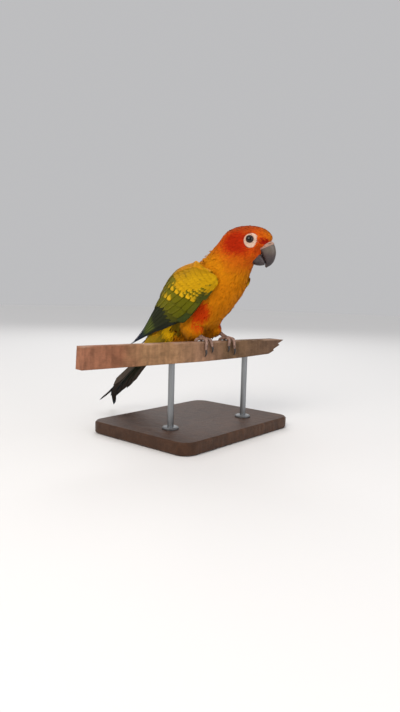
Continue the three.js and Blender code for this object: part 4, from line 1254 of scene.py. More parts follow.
def wing_point(side, along, share, level):
    """A point on a folded wing, kept clear of the body and thighs."""
    along, share, level = np.broadcast_arrays(along, share, level)
    lower, upper = at_along(WING_LOWER, along), at_along(WING_UPPER, along)
    start_angle = math.radians(WING_FROM_ANGLE)
    end_angle = np.radians(at_along(WING_TO_ANGLE, along))
    angle = start_angle + (end_angle - start_angle) * share
    half = (upper - lower) / (np.sin(end_angle) - math.sin(start_angle))
    middle = lower - half * math.sin(start_angle)
    start = np.stack([WING_WRIST[0] + along * BACKWARD[0] + middle * UPWARD[0], 0 * along,
                      WING_WRIST[1] + along * BACKWARD[1] + middle * UPWARD[1]], -1)
    rise = half * np.sin(angle)
    ray = np.stack([rise * UPWARD[0], side * at_along(WING_OUTWARD, along) * np.cos(angle),
                    rise * UPWARD[1]], -1)
    size = np.linalg.norm(ray, axis=-1)
    ray = ray / size[..., None]
    tuck = tucked(along, share)
    over_coat = WING_CLEAR + level - TUCK_LESS * tuck * np.clip(level / TUCK_LEVEL, 0, 1)
    close = reach(flank_distance, start, ray, over_coat)
    radius = np.maximum(size + level - WING_DEPTH, close)
    return start + ray * (radius + (close - radius) * TUCK_SHARE * tuck)[..., None]


print("wing, mm from wrist to tip:", WING_ALONG[-1])

# %% [markdown]
# ## Tiers of vanes
#
# Each tier is a row of the same vane. Its numbers are those of the measured wing, with as many
# feathers as a real wing has. A vane is slim at its root, runs parallel and is rounded at its
# tip; its front edge lies a little over the next vane's rear edge.

# %% One tier
TIERS = {
    # count, shares of first and last root and tip, tips along the wing, length, narrowing, level, dip
    "primaries": (10, (0.06, 0.88), (0.05, 0.9), (156, 162, 161, 154, 143, 131, 117), 92, 24, 1.0, 0.3),
    "secondaries": (10, (0.06, 0.95), (0.06, 0.95), (61, 70, 84, 97, 105), 42, 8, 1.75, 0.9),
    "greater_coverts": (10, (0.07, 0.94), (0.07, 0.94), (44, 54, 68, 81, 91), 26, 6, 2.6, 1.3),
    "median_coverts": (10, (0.08, 0.93), (0.08, 0.93), (28, 40, 54, 67, 77), 20, 5, 3.3, 1.6),
}
VANE_OVERLAP, VANE_TONE_SPREAD = 0.7, 0.05
SHAFT_HIGH, SHAFT_WIDE = 0.16, 0.16


def vane_width(t, narrow):
    """Half width along a vane: slim at the root, parallel, then rounded over the narrow share."""
    tip = np.clip((t - (1 - narrow)) / narrow, 0, 1)
    return (0.55 + 0.45 * ramp(t, 0, 0.3)) * np.sqrt(np.clip(1 - tip**2.2, 0.012, 1))


def wing_facing(side, along, share):
    """The wing's smooth outward normal."""
    back = wing_point(side, along + 1.5, share, 3.0) - wing_point(side, along - 1.5, share, 3.0)
    up = wing_point(side, along, share + 0.03, 3.0) - wing_point(side, along, share - 0.03, 3.0)
    normal = np.cross(up, back)
    normal = normal / np.linalg.norm(normal, axis=-1, keepdims=True)
    return normal * np.sign(normal[..., 1:2] * side)


def wing_front(share):
    """Where the wing's rounded front starts, in mm behind the wrist."""
    return np.interp(share, [0, 0.2, 0.45, 0.7, 0.88, 1.0], [4.5, 1.5, 0.8, 2.5, 8, 14])


def wing_tier(side, tier, rows, columns, colour_of, bake_row, rise=0.6, thick=0.3):
    """One tier's points, faces, colours, places on the feather and bake places."""
    count, root_shares, tip_shares, tips, length, narrowing, top, dip = tier
    row, column, below, faces = leaf_template(rows, columns)
    t, edge = row / (rows - 1), column / (columns - 1) * 2 - 1
    place = np.linspace(0, 1, count)[:, None]
    step = (tip_shares[1] - tip_shares[0]) / (count - 1)
    tip_share = tip_shares[0] + (tip_shares[1] - tip_shares[0]) * place
    root_share = root_shares[0] + (root_shares[1] - root_shares[0]) * place
    tips = np.array(tips, float)
    tip_along = smooth_values(tips, tip_share) + rng.normal(0, 0.05 * narrowing, (count, 1))
    tip_along = np.maximum(tip_along, wing_front(tip_share) + 4)
    root_along = np.maximum(tip_along - length, wing_front(tip_share))
    along = root_along + t * (tip_along - root_along) - 0.26 * narrowing * edge**2 * ramp(t, 0.75, 1)
    middle = root_share + (tip_share - root_share) * t
    half = vane_width(t, narrowing / length) * VANE_OVERLAP * step
    share = middle + edge * half
    to_root = np.clip((smooth_values(tips, middle) - along) / length, 0, 1)
    shaft = SHAFT_HIGH * np.exp(-(edge / SHAFT_WIDE) ** 2) * (1 - 0.6 * t)
    level = top - dip * to_root**3 - edge * rise / 2 * vane_width(t, narrowing / length)
    level = level + shaft + rng.normal(0, 0.05, (count, 1)) * t - thick * below * (1 - 0.5 * t)
    points = wing_point(side, along, share, level)
    shape = share.shape
    own = np.stack([tip_along + rng.normal(0, 2.5, tip_along.shape), tip_share, place], 0)
    colours = colour_of(along, share, np.broadcast_to(t, shape), np.broadcast_to(edge, shape),
                        *(np.broadcast_to(part, shape) for part in own))
    colours = colours * rng.normal(1, VANE_TONE_SPREAD, (count, 1, 1))
    first, rows_in_all = bake_row
    bake = np.stack([(np.arange(count)[:, None] + 0.5 + 0.44 * edge) / count,
                     np.broadcast_to((first + 0.04 + 0.92 * t) / rows_in_all, along.shape)], -1)
    barb = np.stack([edge * 4.0 + 0 * along, along, 0 * along + place], -1)
    faces = joined_faces(faces if side > 0 else faces[:, ::-1], count, len(t))
    facing = wing_facing(side, along, share) * np.where(below > 0, -1.0, 1.0)[:, None]
    return (points.reshape(-1, 3), faces, colours.reshape(-1, 3), barb.reshape(-1, 3),
            bake.reshape(-1, 2), facing.reshape(-1, 3))


print("vanes of a wing:", {name: tier[0] for name, tier in TIERS.items()})

# %% [markdown]
# The tiers of a piece become one mesh. Its bake map is a table with a cell for each feather, so
# no two feathers share a place on it.

# %% Joining tiers


def join_tiers(name, parts, softness=None, under_apart=False):
    """One mesh from several tiers. The under faces may have bake places of their own."""
    points, faces, colours, barbs, bakes = [], [], [], [], []
    start = 0
    for part in parts:
        points.append(part[0])
        faces.append(part[1] + start)
        colours.append(part[2])
        barbs.append(part[3])
        bakes.append(part[4])
        start += len(part[0])
    bake, faces = np.clip(np.concatenate(bakes), 0.002, 0.998), np.concatenate(faces)
    piece = mesh_object(name, np.concatenate(points), faces, np.concatenate(colours), bake)
    if under_apart:
        per_leaf = len(parts[0][1])
        under = np.arange(len(faces)) % per_leaf >= per_leaf // 2
        corner_bake = bake[faces] * (1, 0.5) + under[:, None, None] * np.array([0, 0.5])
        piece.data.uv_layers["OFBake"].data.foreach_set("uv", corner_bake.ravel())
    barb = piece.data.attributes.new("barb", "FLOAT_VECTOR", "POINT")
    barb.data.foreach_set("vector", np.concatenate(barbs).ravel())
    if softness is not None:
        facing = np.concatenate([part[5] for part in parts])
        soften(piece.data, facing, np.full(len(facing), softness))
    piece.data.materials.append(vane)
    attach(piece, "root")
    return piece


print("vane material:", vane.name)

# %% [markdown]
# ## Colours of the wing
#
# The shoulder is golden and the rear of the wing olive green. The border between them runs
# through the coverts, whose green feathers have yellow tips near it. The flight feathers darken
# to blue at their tips. So each tier has a function that gives a colour by place on the wing,
# by place on the feather (t along it, edge across it) and by where that feather's tip lies.

# %% Wing colours
PATCH_SHARE = [0.0, 0.1, 0.17, 0.28, 0.35, 0.42, 0.5, 0.6, 0.75, 0.9, 1.0]
PATCH_BORDER = [15, 21, 17, 26, 35, 43, 52, 56, 57, 54, 50]


def patch_border(share):
    """How far back the yellow shoulder patch runs, by the share from the wing's lower edge."""
    return np.interp(share, PATCH_SHARE, PATCH_BORDER)


def primary_colour(along, share, t, edge, tip_along, tip_share, place):
    """Green blades with dark blue tips, and a dark patch where the secondaries end."""
    colour = mix(linear("22321E"), linear("44581C"), ramp(edge, -0.9, 0.1))
    green = ramp(along, 97, 104) * (1 - ramp(along, 116, 126)) * (1 - ramp(share, 0.45, 0.7))
    colour = mix(colour, linear("70762C"), 0.85 * green * ramp(edge, -0.8, 0.2))
    dark = ramp(along, 60, 72) * (1 - ramp(along, 99, 106))
    colour = mix(colour, linear("262818"), 0.92 * dark)
    # the lowest primaries are painted near black: painted shade along the wing's lower edge
    colour = mix(colour, linear("1C2016"), 1 - ramp(share, 0.05, 0.13))
    return mix(colour, linear("232A38"), ramp(along, 116, 132))


def secondary_colour(along, share, t, edge, tip_along, tip_share, place):
    """Olive green, bluer at the wing's lower edge, with yellowish fringes."""
    colour = mix(linear("565606"), linear("66620A"), ramp(place, 0.1, 0.6))
    colour = mix(colour, linear("2E3A1A"), 0.85 * (1 - ramp(place, 0.0, 0.1)))
    fringe = ramp(np.abs(edge), 0.6, 0.95) * 0.25 + ramp(t, 0.92, 1.0) * 0.55
    return mix(colour, linear("A09632"), np.clip(fringe, 0, 0.6) * ramp(place, 0.08, 0.3))


def covert_colour(along, share, t, edge, tip_along, tip_share, place):
    """Each covert is yellow or green, and the green ones near the patch have yellow tips."""
    colour = mix(linear("585806"), linear("6A640A"), ramp(tip_share, 0.1, 0.6))
    teal = 1 - ramp(tip_share, 0.02, 0.12)
    teal = teal + ramp(40 - tip_along, 0, 14) * (1 - ramp(tip_share, 0.1, 0.26))
    colour = mix(colour, linear("40441A"), 0.85 * np.clip(teal, 0, 1))
    past = tip_along - patch_border(tip_share)
    tip = ramp(t, 0.66, 0.8) * (1 - ramp(past, 16, 26))
    tip = tip * ramp(tip_share, 0.1, 0.2) * (1 - ramp(tip_share, 0.58, 0.7))
    colour = mix(colour, linear("D2A414"), np.clip(tip, 0, 1))
    # the wing's upper rear edge is painted olive dark: painted shade where the back's feathers lie over
    # it
    top_edge_shade = ramp(along, 48, 60) * ramp(share, 0.6, 0.78)
    colour = mix(colour, linear("7A6C10"), 0.7 * top_edge_shade)
    fleck = (np.sin(tip_along * 12.9 + tip_share * 78.2) > 0.95) * ramp(t, 0.6, 0.8) * 0.5
    # the yellow is painted darker on the patch's upper part, as shade there
    golden = mix(linear("C8980A"), linear("B08206"), ramp(tip_share, 0.5, 0.8))
    yellow = mix(golden, linear("8A6C10"), np.maximum(fleck, 0.75 * top_edge_shade))
    return mix(colour, yellow, 1 - ramp(past, -1, 2))


def scapular_colour(along, share, t, edge, tip_along, tip_share, place):
    """The back's long side feathers, golden in front and olive behind, lie over the wing's top."""
    colour = mix(linear("D28E0A"), linear("8C7A10"), ramp(along, 42, 60))
    # the tips of the front ones are painted darker orange: a painted shadow line along the wing's top
    return mix(colour, linear("A8600C"), 0.5 * ramp(t, 0.7, 1.0) * (1 - ramp(along, 24, 44)))


print("yellow patch ends, mm behind the wrist:", PATCH_BORDER[0], "to", max(PATCH_BORDER))

# %% [markdown]
# ## Scapulars
#
# Long soft feathers grow beside the spine and lie over the wing's upper edge, so no hollow is
# left between wing and back. We lay them in rows between the two surfaces, rear rows first.

# %% Scapular rows
SCAPULAR_ROWS, SCAPULAR_COUNT, SCAPULAR_STEP = 18, 7, 4.2
SCAPULAR_SINK, SCAPULAR_LAST, SCAPULAR_LENGTH = 12.0, 86.0, 13.0
SCAPULAR_POINTS = (9, 7)


def scapular_point(side, along, across, level):
    """A point between the back (0) and the wing's upper edge (1), never under the back's coat."""
    along, across, level = np.broadcast_arrays(along, across, level)
    upright = np.array([UPWARD[0], 0, UPWARD[1]])
    edge = wing_point(side, along, 0.9, 3.2)
    inner = edge * (1, 0, 1) - upright * SCAPULAR_SINK
    far = np.linalg.norm(edge - inner, axis=-1)
    ray = (edge - inner) / far[..., None]
    back = inner + ray * np.minimum(reach(body_distance, inner, ray), far - 1)[..., None]
    point = back + (edge - back) * across[..., None]
    point = point + upright * (level + 1.0 * np.sin(np.pi * across))[..., None]
    return point + upright * np.maximum(level + 2 * across - body_distance(point), 0)[..., None]


def scapular_row(side, k):
    """One row of the feathers that close the hollow between the back and the wing."""
    row, column, below, faces = leaf_template(*SCAPULAR_POINTS)
    t, edge = row / (SCAPULAR_POINTS[0] - 1), column / (SCAPULAR_POINTS[1] - 1) * 2 - 1
    place = np.linspace(0.04, 0.98, SCAPULAR_COUNT)[:, None] + rng.normal(0, 0.02, (SCAPULAR_COUNT, 1))
    tip = SCAPULAR_LAST - SCAPULAR_STEP * k + rng.normal(0, 1.0, (SCAPULAR_COUNT, 1))
    along = np.maximum(tip - SCAPULAR_LENGTH * (1 - t), 5) - 1.6 * edge**2 * ramp(t, 0.7, 1)
    across = place + edge * vane_width(t, 0.4) * VANE_OVERLAP / (SCAPULAR_COUNT - 1)
    level = 0.3 + 1.1 * t - 2.0 * across - 0.2 * edge**2 - 0.2 * below * (1 - 0.5 * t)
    points = scapular_point(side, along, across, level)
    shape = along.shape
    colours = scapular_colour(along, across, np.broadcast_to(t, shape), edge, tip, across, place)
    colours = colours * rng.normal(1, VANE_TONE_SPREAD, (SCAPULAR_COUNT, 1, 1))
    cell = np.arange(SCAPULAR_COUNT)[:, None] + 0.5 + 0.44 * edge + 0 * along
    bake = np.stack([cell / SCAPULAR_COUNT,
                     np.broadcast_to((k + 0.04 + 0.92 * t) / SCAPULAR_ROWS, shape)], -1)
    barb = np.stack([edge * 2.5 + 0 * along, along, 0 * along + place], -1)
    faces = joined_faces(faces if side < 0 else faces[:, ::-1], SCAPULAR_COUNT, len(t))
    facing = np.array([UPWARD[0], side * 0.35, UPWARD[1]]) * np.where(below > 0, -1.0, 1.0)[:, None]
    facing = np.broadcast_to(facing / np.linalg.norm(facing, axis=-1, keepdims=True), points.shape)
    return (points.reshape(-1, 3), faces, colours.reshape(-1, 3), barb.reshape(-1, 3),
            bake.reshape(-1, 2), facing.reshape(-1, 3))


print("scapulars of a side:", SCAPULAR_ROWS * SCAPULAR_COUNT)

# %% [markdown]
# ## Both wings
#
# Each wing is four pieces: the flight feathers with their two larger rows of coverts, the small
# coverts of the shoulder, the arm that closes the view between them, and the scapulars.

# %% Building both wings
COLOUR_OF = {"primaries": primary_colour, "secondaries": secondary_colour,
             "greater_coverts": covert_colour, "median_coverts": covert_colour}
LESSER_ROWS, EDGE_ROWS = 8, 9
LESSER_FRONT, LESSER_BACK = np.array([5.0, 4, 4, 5, 9]), np.array([28.0, 40, 54, 67, 77])
ARM_ROWS, ARM_COLUMNS = 30, 22


def small_coverts(side):
    """The shoulder's small rows, from the rear forwards, and those along the wing's top."""
    parts, rows_in_all = [], LESSER_ROWS + EDGE_ROWS + 1
    for k in range(LESSER_ROWS):
        tips = LESSER_FRONT + (LESSER_BACK - LESSER_FRONT) * (1 - (k + 1) / (LESSER_ROWS + 0.6))
        tier = (18, (0.0, 0.97), (0.0, 0.97), tips, 11, 4, 3.5 + 0.1 * k, 1.5)
        parts.append(wing_tier(side, tier, 9, 7, covert_colour, (k, rows_in_all), 0.4, 0.2))
    for k in range(EDGE_ROWS):
        last = 66 - 6 * k
        tips = [last - 3, last, last + 2, last]
        tier = (6, (0.84, 1.0), (0.82, 0.99), tips, 13, 5, 3.9 + 0.05 * k, 1.4)
        bake_row = (k + LESSER_ROWS, rows_in_all)
        parts.append(wing_tier(side, tier, 9, 7, scapular_colour, bake_row, 0.3, 0.2))
    return parts


def arm_part(side):
    """The arm under the feathers, thin at its edges."""
    along, share = np.meshgrid(np.linspace(0, 88, ARM_ROWS), np.linspace(0.02, 0.98, ARM_COLUMNS),
                               indexing="ij")
    along = np.maximum(along, wing_front(share) + 1)
    swell = np.clip(np.sin(np.pi * share), 0.05, 1) ** 0.3 * (1 - ramp(along, 60, 92))
    row, column, below, faces = leaf_template(ARM_ROWS, ARM_COLUMNS)
    lift = np.where(below > 0, 0.1, 0.15 + 1.3 * swell[row, column])
    along, share, flat = along[row, column], share[row, column], 0 * lift
    # the arm is painted darker than the coverts, as shade in the gap under them
    colours = covert_colour(along, share, flat, flat, along, share, flat) * 0.7
    bake = np.column_stack([row / (ARM_ROWS - 1), column / (ARM_COLUMNS - 1)]) * 0.98 + 0.01
    barb = np.column_stack([share * 40, along, flat])
    faces = faces if side > 0 else faces[:, ::-1]
    return wing_point(side, along, share, lift), faces, colours, barb, bake


for side, end in ((1, "left"), (-1, "right")):
    tiers = [wing_tier(side, tier, 22, 9, COLOUR_OF[name], (k, len(TIERS)))
             for k, (name, tier) in enumerate(TIERS.items())]
    flights = join_tiers("wing_feathers_" + end, tiers, 0.4)
    lesser = join_tiers("lesser_coverts_" + end, small_coverts(side), 0.75)
    arm = join_tiers("wing_arm_" + end, [arm_part(side)], under_apart=True)
    rows = [scapular_row(side, k) for k in range(SCAPULAR_ROWS)]
    scapulars = join_tiers("scapulars_" + end, rows, 0.6)
    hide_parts("wing_" + end)

# %% [markdown]
# ## Tail
#
# Twelve long graduated vanes lie closed over one another, the middle pair on top and longest.
# We see their dark underside. Short coverts, olive yellow below and green above, hide their
# roots. A place in the tail is a share of its length, a distance to the left and a lift.

# %% Tail
TAIL_LINE = [[-50, 0, 16], [-86, 0, -13], [-120, 0, -42], [-146, 0, -66], [-165, 0, -86]]
TAIL_TWIST = 0.3
TAIL_VANES = {
    # each: end, left at the root and at the tip, half width, lift at the root and at the tip, bend
    1: [(1.0, 1.6, 8.2, 3.6, 2.7, -2.3, 9), (0.93, 4.2, 6.0, 4.1, 1.1, 1.1, 2),
        (0.87, 4.6, 6.8, 4.1, 0.3, 0.3, 2), (0.8, 5, 8.4, 4.1, -0.5, -0.5, 2),
        (0.74, 5.4, 12, 4, -1.3, -1.3, 2), (0.66, 5.6, 12.2, 3.9, -2.1, -2.1, 2)],
    -1: [(1.0, -1.6, -8.4, 1.9, 1.9, 1.9, 4), (0.9, -3, 0.5, 4.1, 1.1, 1.1, 2),
         (0.83, -4, -3.4, 4.1, 0.3, 0.3, 2), (0.76, -5, -6.2, 4.1, -0.5, -0.5, 2),
         (0.7, -6, -10.5, 4, -1.3, -1.3, 1.4), (0.63, -7, -14.2, 3.9, -2.1, -2.1, 1.3)],
}
TAIL_ROOT_SHARE, TAIL_COUNT, TAIL_LENGTH_MM = 0.1, 12, 150


def tail_point(share, left, lift):
    """A point in the tail: a share of its length, mm to the left and mm of lift."""
    share, left, lift = np.broadcast_arrays(share, left, lift)
    middle = smooth_values(TAIL_LINE, share)
    ahead_of, behind = smooth_values(TAIL_LINE, share + 0.01), smooth_values(TAIL_LINE, share - 0.01)
    along = ahead_of - behind
    along = along / np.linalg.norm(along, axis=-1, keepdims=True)
    over = np.cross(along, np.array([0, -1.0, 0]))
    point = middle + over * (lift - left * TAIL_TWIST * share**2)[..., None]
    return point + left[..., None] * np.array([0, 1.0, 0])


def tail_vane(cell, end, root_left, tip_left, half, root_lift, tip_lift, bend,
              rows=26, columns=9, thick=0.28):
    """One tail feather, from its root under the coverts to its tip."""
    row, column, below, faces = leaf_template(rows, columns)
    t, edge = row / (rows - 1), column / (columns - 1) * 2 - 1
    share = TAIL_ROOT_SHARE + (end - TAIL_ROOT_SHARE) * (t - 0.05 * edge**2 * ramp(t, 0.8, 1))
    width = vane_width(t, 0.2) * half
    left = root_left + (tip_left - root_left) * t**bend + edge * width
    shaft = 0.2 * np.exp(-(edge / 0.14) ** 2) * (1 - 0.6 * t)
    level = root_lift + (tip_lift - root_lift) * t**bend - 0.35 * edge**2 * width / half
    level = level + np.where(below > 0, -thick - shaft, shaft)
    points = tail_point(share, left, level)
    bake = np.stack([(cell + 0.5 + 0.44 * edge) / TAIL_COUNT, 0.01 + 0.98 * t], -1)
    barb = np.stack([edge * half, share * TAIL_LENGTH_MM, 0 * share + root_lift], -1)
    # the two outer vanes get a painted highlight on their undersides
    painted_highlight = float(cell >= TAIL_COUNT - 2)
    return points, faces[:, ::-1], tail_colour(share, edge, below, painted_highlight), barb, bake


def tail_colour(share, edge, below, painted_highlight):
    """Green and blue above and dark brown below; the under edges and the two outer vanes are painted
    paler, as a highlight.
    """
    upper = mix(linear("4E6A22"), linear("2C4450"), ramp(share, 0.35, 0.85))
    upper = mix(upper, linear("232F38"), 0.6 * ramp(np.abs(edge), 0.5, 1))
    under = mix(linear("3A2C1E"), linear("241A14"), ramp(share, 0.45, 0.85))
    under = mix(under, linear("6A5A4A"), (0.3 + 0.5 * painted_highlight) * ramp(np.abs(edge), 0.7, 1))
    under = mix(under, linear("75675A"), 0.6 * painted_highlight)
    return np.where(below[..., None] > 0, under, upper)


parts = [tail_vane(cell, *numbers) for cell, numbers in enumerate(TAIL_VANES[1] + TAIL_VANES[-1])]
tail_feathers = join_tiers("tail_feathers", parts, under_apart=True)
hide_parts("tail")
print("tail vanes:", len(parts), "triangles:", triangles_in(tail_feathers))

# %% [markdown]
# ## Tail coverts
#
# Soft feathers taper from the rump over the roots of the tail. They are laid like the body's
# coat, on two egg shapes of their own, and end thinly, so the vanes come out from under them.

# %% Tail coverts and the root of the tail
TAIL_ROOT_FORMS = [([-74, 0, 0.6], 41, 0, [31, 13, 11.5]), ([-92.5, 0, -15.6], 41, 0, [26, 10.5, 5])]
root_distance = blend_of(TAIL_ROOT_FORMS, 1.5)
stations = [(np.array([-72.0, 0, 1.0]), 41, 0, 12), (np.array([-74.0, 0, -1.0]), 41, 0, 60),
            (np.array([-84.0, 0, -9.5]), 41, 0, 90), (np.array([-96.0, 0, -19.5]), 41, 0, 110),
            (np.array([-104.0, 0, -26.5]), 41, 0, 168)]
root_map = SurfaceMap(root_distance, stations, 90, 90)
COVERT_SPACING, COVERT_ROWS_SHARE = 1.7, 0.84
row, column, roots, flow = scatter(
    root_map, lambda p: COVERT_SPACING + 0 * p[..., 0],
    lambda p: np.where(body_distance(p) < INSIDE_MM, SELDOM, 1.0), SMALL_TRIES)
keep = (body_distance(roots) > INSIDE_MM) & (row < COVERT_ROWS_SHARE * root_map.rows)
row, column, roots, flow = row[keep], column[keep], roots[keep], flow[keep]
count = len(roots)
colours = feather_colours(roots)
tail_coverts = feather_mesh("tail_coverts", root_distance, roots, flow, rng.uniform(9, 13, count),
                            rng.uniform(1.2, 1.6, count), np.full(count, 2.0), rng.uniform(0, 0.8, count),
                            colours, bake_places(root_map, row, column))
ROOT_ROWS, ROOT_SIDES = 14, 32
turns = np.linspace(0, 2 * np.pi, ROOT_SIDES, endpoint=False)
rings = []
for share in np.linspace(0, 1, ROOT_ROWS):
    wide = smooth_values([9.5, 8.5, 7.2, 5.0], share)
    thick = smooth_values([8.5, 6.5, 4.2, 1.2], share)
    along = 0 * turns + share * 0.3 - 0.04
    rings.append(tail_point(along, np.cos(turns) * wide, np.sin(turns) * thick - 0.8))
tail_root = tube_object("tail_root", rings)
# the root is painted darker than the coat, as shade under the coverts
set_marking(tail_root.data, plumage_colour(mesh_points(tail_root.data)) * 0.7)
for piece in (tail_coverts, tail_root):
    piece.data.materials.append(down)
    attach(piece, "root")
print("tail coverts:", count, "triangles:", triangles_in(tail_coverts, tail_root))

# %% [markdown]
# ## Eyes
#
# The eye is a glossy ball, sunk so that less than half of it shows. It is turned from a sphere,
# which is what an eyeball is, and its iris and pupil are painted by how far a point looks out.

# %% Eyeballs
cornea, tree, shader = new_material("eye_cornea")
marking = add_node(tree, "Attribute", attribute_name="marking")
fill(tree, shader, {"Base Color": marking.outputs["Color"], "Roughness": 0.12, "IOR": 1.38,
                    "Specular IOR Level": 0.35, "Coat Weight": 0.15, "Coat Roughness": 0.03})


def make_eyeball(side, end):
    surface, normal, _, _ = eyes[side]
    centre = surface - normal * EYE_SUNK
    deselect()
    bpy.ops.mesh.primitive_uv_sphere_add(segments=48, ring_count=32, radius=EYE_RADIUS * MM,
                                         location=to_metres(centre))
    eyeball = bpy.context.object
    eyeball.name = eyeball.data.name = "eyeball_" + end
    bpy.ops.object.shade_smooth()
    bpy.ops.object.transform_apply(location=True, rotation=False, scale=False)
    toward = (mesh_points(eyeball.data) - centre) @ normal / EYE_RADIUS
    in_iris = ramp(toward, 0.60, 0.66) * (1 - ramp(toward, 0.86, 0.9))
    iris = mix(linear("0B0708"), linear("2A1814"), in_iris)
    set_marking(eyeball.data, mix(iris, linear("050304"), ramp(toward, 0.87, 0.9)))
    eyeball.data.materials.append(cornea)
    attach(eyeball, "root")
    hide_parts("eye_" + end)
    return eyeball


print("eyeball, mm across:", 2 * EYE_RADIUS, "and sunk:", EYE_SUNK)

# %% [markdown]
# ## Bare rings
#
# Round each eye lies a bare cream ring, finely wrinkled, with a raised lid at the eyeball. It is
# a thin washer pressed on the face's outline. Its rim dips under the feathers that lie round it.

# %% Rings
RING_ROWS, RING_COLUMNS, RING_THICK, RING_UNDER_FEATHERS = 26, 96, 0.6, 0.9
LID_INNER, LID_AT, LID_WIDE, LID_HIGH = 3.25, 4.0, 0.6, 0.95
RING_SUNK, LID_TUCK, RIM_TUCK = 0.45, 1.2, 1.1


def ring_layers(side):
    """The ring's top, its underside and its colours, in rows from the lid outwards."""
    surface, _, front, up = eyes[side]
    share = np.linspace(0, 1, RING_ROWS)[:, None]
    turn = np.linspace(0, 2 * np.pi, RING_COLUMNS, endpoint=False)[None]
    spread = LID_INNER + (RING_RADIUS + RING_UNDER_FEATHERS - LID_INNER) * share + 0 * turn
    shift = ramp(share, 0.1, 0.9)
    x = spread * np.cos(turn) + RING_SHIFT[0] * shift
    y = spread * np.sin(turn) + RING_SHIFT[1] * shift
    flat = surface + front * x[..., None] + up * y[..., None]
    steep = outward(body_distance, flat)
    flat = flat - steep * body_distance(flat)[..., None]
    wrinkle = 0.10 * np.sin(turn * 38 + 3 * np.sin(turn * 3)) * ramp(share, 0.15, 0.5)
    wrinkle = wrinkle + 0.09 * np.sin(share * 30 + np.sin(turn * 5)) * ramp(share, 0.2, 0.5)
    lid = LID_HIGH * np.exp(-((spread - LID_AT) / LID_WIDE) ** 2)
    height = lid - RING_SUNK + wrinkle * 0.8 - RIM_TUCK * ramp(share, 0.8, 1.0)
    height = np.where(share < 0.01, -LID_TUCK, height)
    tone = mix(linear("CFAE98"), linear("B87C64"), ramp(share, 0.66, 0.95) + 0 * turn)
    tone = mix(tone, linear("3A2420"), 1 - ramp(share, 0.06, 0.16) + 0 * turn)
    return flat + steep * height[..., None], flat + steep * (height - RING_THICK)[..., None], tone


def make_ring(side, end):
    top, bottom, tone = ring_layers(side)
    points = np.concatenate([top.reshape(-1, 3), bottom.reshape(-1, 3)])
    layer = RING_ROWS * RING_COLUMNS
    grid = np.arange(layer).reshape(RING_ROWS, RING_COLUMNS)
    turned = np.roll(grid, -1, 1)
    upper = np.stack([grid[:-1], grid[1:], turned[1:], turned[:-1]], -1).reshape(-1, 4)
    inner_edge = np.stack([grid[0], turned[0], turned[0] + layer, grid[0] + layer], -1)
    outer_edge = np.stack([turned[-1], grid[-1], grid[-1] + layer, turned[-1] + layer], -1)
    faces = np.concatenate([upper, upper[:, ::-1] + layer, inner_edge, outer_edge])
    ring = mesh_object("eye_ring_" + end, points, faces, np.tile(tone.reshape(-1, 3), (2, 1)))
    edit_all(ring, bpy.ops.mesh.normals_make_consistent, inside=False)
    ring.data.materials.append(pale_skin)
    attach(ring, "root")
    return ring


for side, end in ((1, "left"), (-1, "right")):
    print(end, "eye and ring, triangles:", triangles_in(make_eyeball(side, end), make_ring(side, end)))

# %% [markdown]
# ## Feet
#
# Parrots grip with two toes forward and two back. The toes are bare and scaly, with broad plates
# over their tops and dark curved claws. Each toe follows the lath's top and hooks over its edge.

# %% Toes as rings along a path
lath_forward, lath_left, _ = directions(0.0, math.degrees(LATH_YAW))
LATH_THICK, FOOT_SPACING, TOE_CLEAR = 12.0, 15.5, 0.4
SHANK = [[-14, -1, 12], [-9.5, -0.4, 7.4], [-3.5, 0, 3.8], [1.2, 0, 2.6]]
# each toe: forwards or back, sideways at its root and tip, how far it hangs over, half thickness
TOES = [(1, -1.4, -4.6, 5.2, 1.5), (1, 1.4, 3.6, 8.4, 1.6),
        (-1, -1.4, -4, 4, 1.4), (-1, 1.4, 4.6, 7.2, 1.5)]
SHANK_HALF, TOE_HALF = [2.2, 1.9, 2.2, 1.9], np.array([1.1, 0.95, 1.08, 0.86, 0.9, 0.62])
CLAW_HALF = [1.15, 1.05, 0.7, 0.2]


def on_lath(points):
    """Points given along the toes, along the lath and up, in the bird's frame."""
    points = np.asarray(points, float)
    level = points[..., :1] * lath_forward + points[..., 1:2] * lath_left
    return level + points[..., 2:] * np.array([0, 0, 1.0])


def limb_rings(path, radii, steps, sides, plates=0, ridge=0.0):
    """Rings along a smooth path, with a small step at each scale plate."""
    path = on_lath(path)
    turn = np.linspace(0, 2 * np.pi, sides, endpoint=False)
    rings = []
    for share in np.linspace(0, 1, steps):
        centre = smooth_values(path, share)
        tangent = smooth_values(path, min(share + 0.02, 1)) - smooth_values(path, max(share - 0.02, 0))
        tangent = tangent / np.linalg.norm(tangent)
        over = np.cross(tangent, lath_left)
        over = over / np.linalg.norm(over)
        level = np.cross(over, tangent)
        saw = (share * plates) % 1 if plates else 0
        radius = smooth_values(np.array(radii, float), share) * (1 + ridge * (0.5 - saw))
        ends = math.sqrt(max(1 - (2 * share - 1) ** 20, 0.02))
        spokes = np.cos(turn)[:, None] * level + np.sin(turn)[:, None] * over
        rings.append(centre + radius * ends * spokes)
    return rings


print("toes of a foot:", len(TOES))

# %% [markdown]
# The toes' skin is grey brown and tiled with small scales. The claws are dark, smooth horn.

# %% Skin of the feet and horn of the claws
scaly, tree, shader = new_material("scaly_foot_skin")
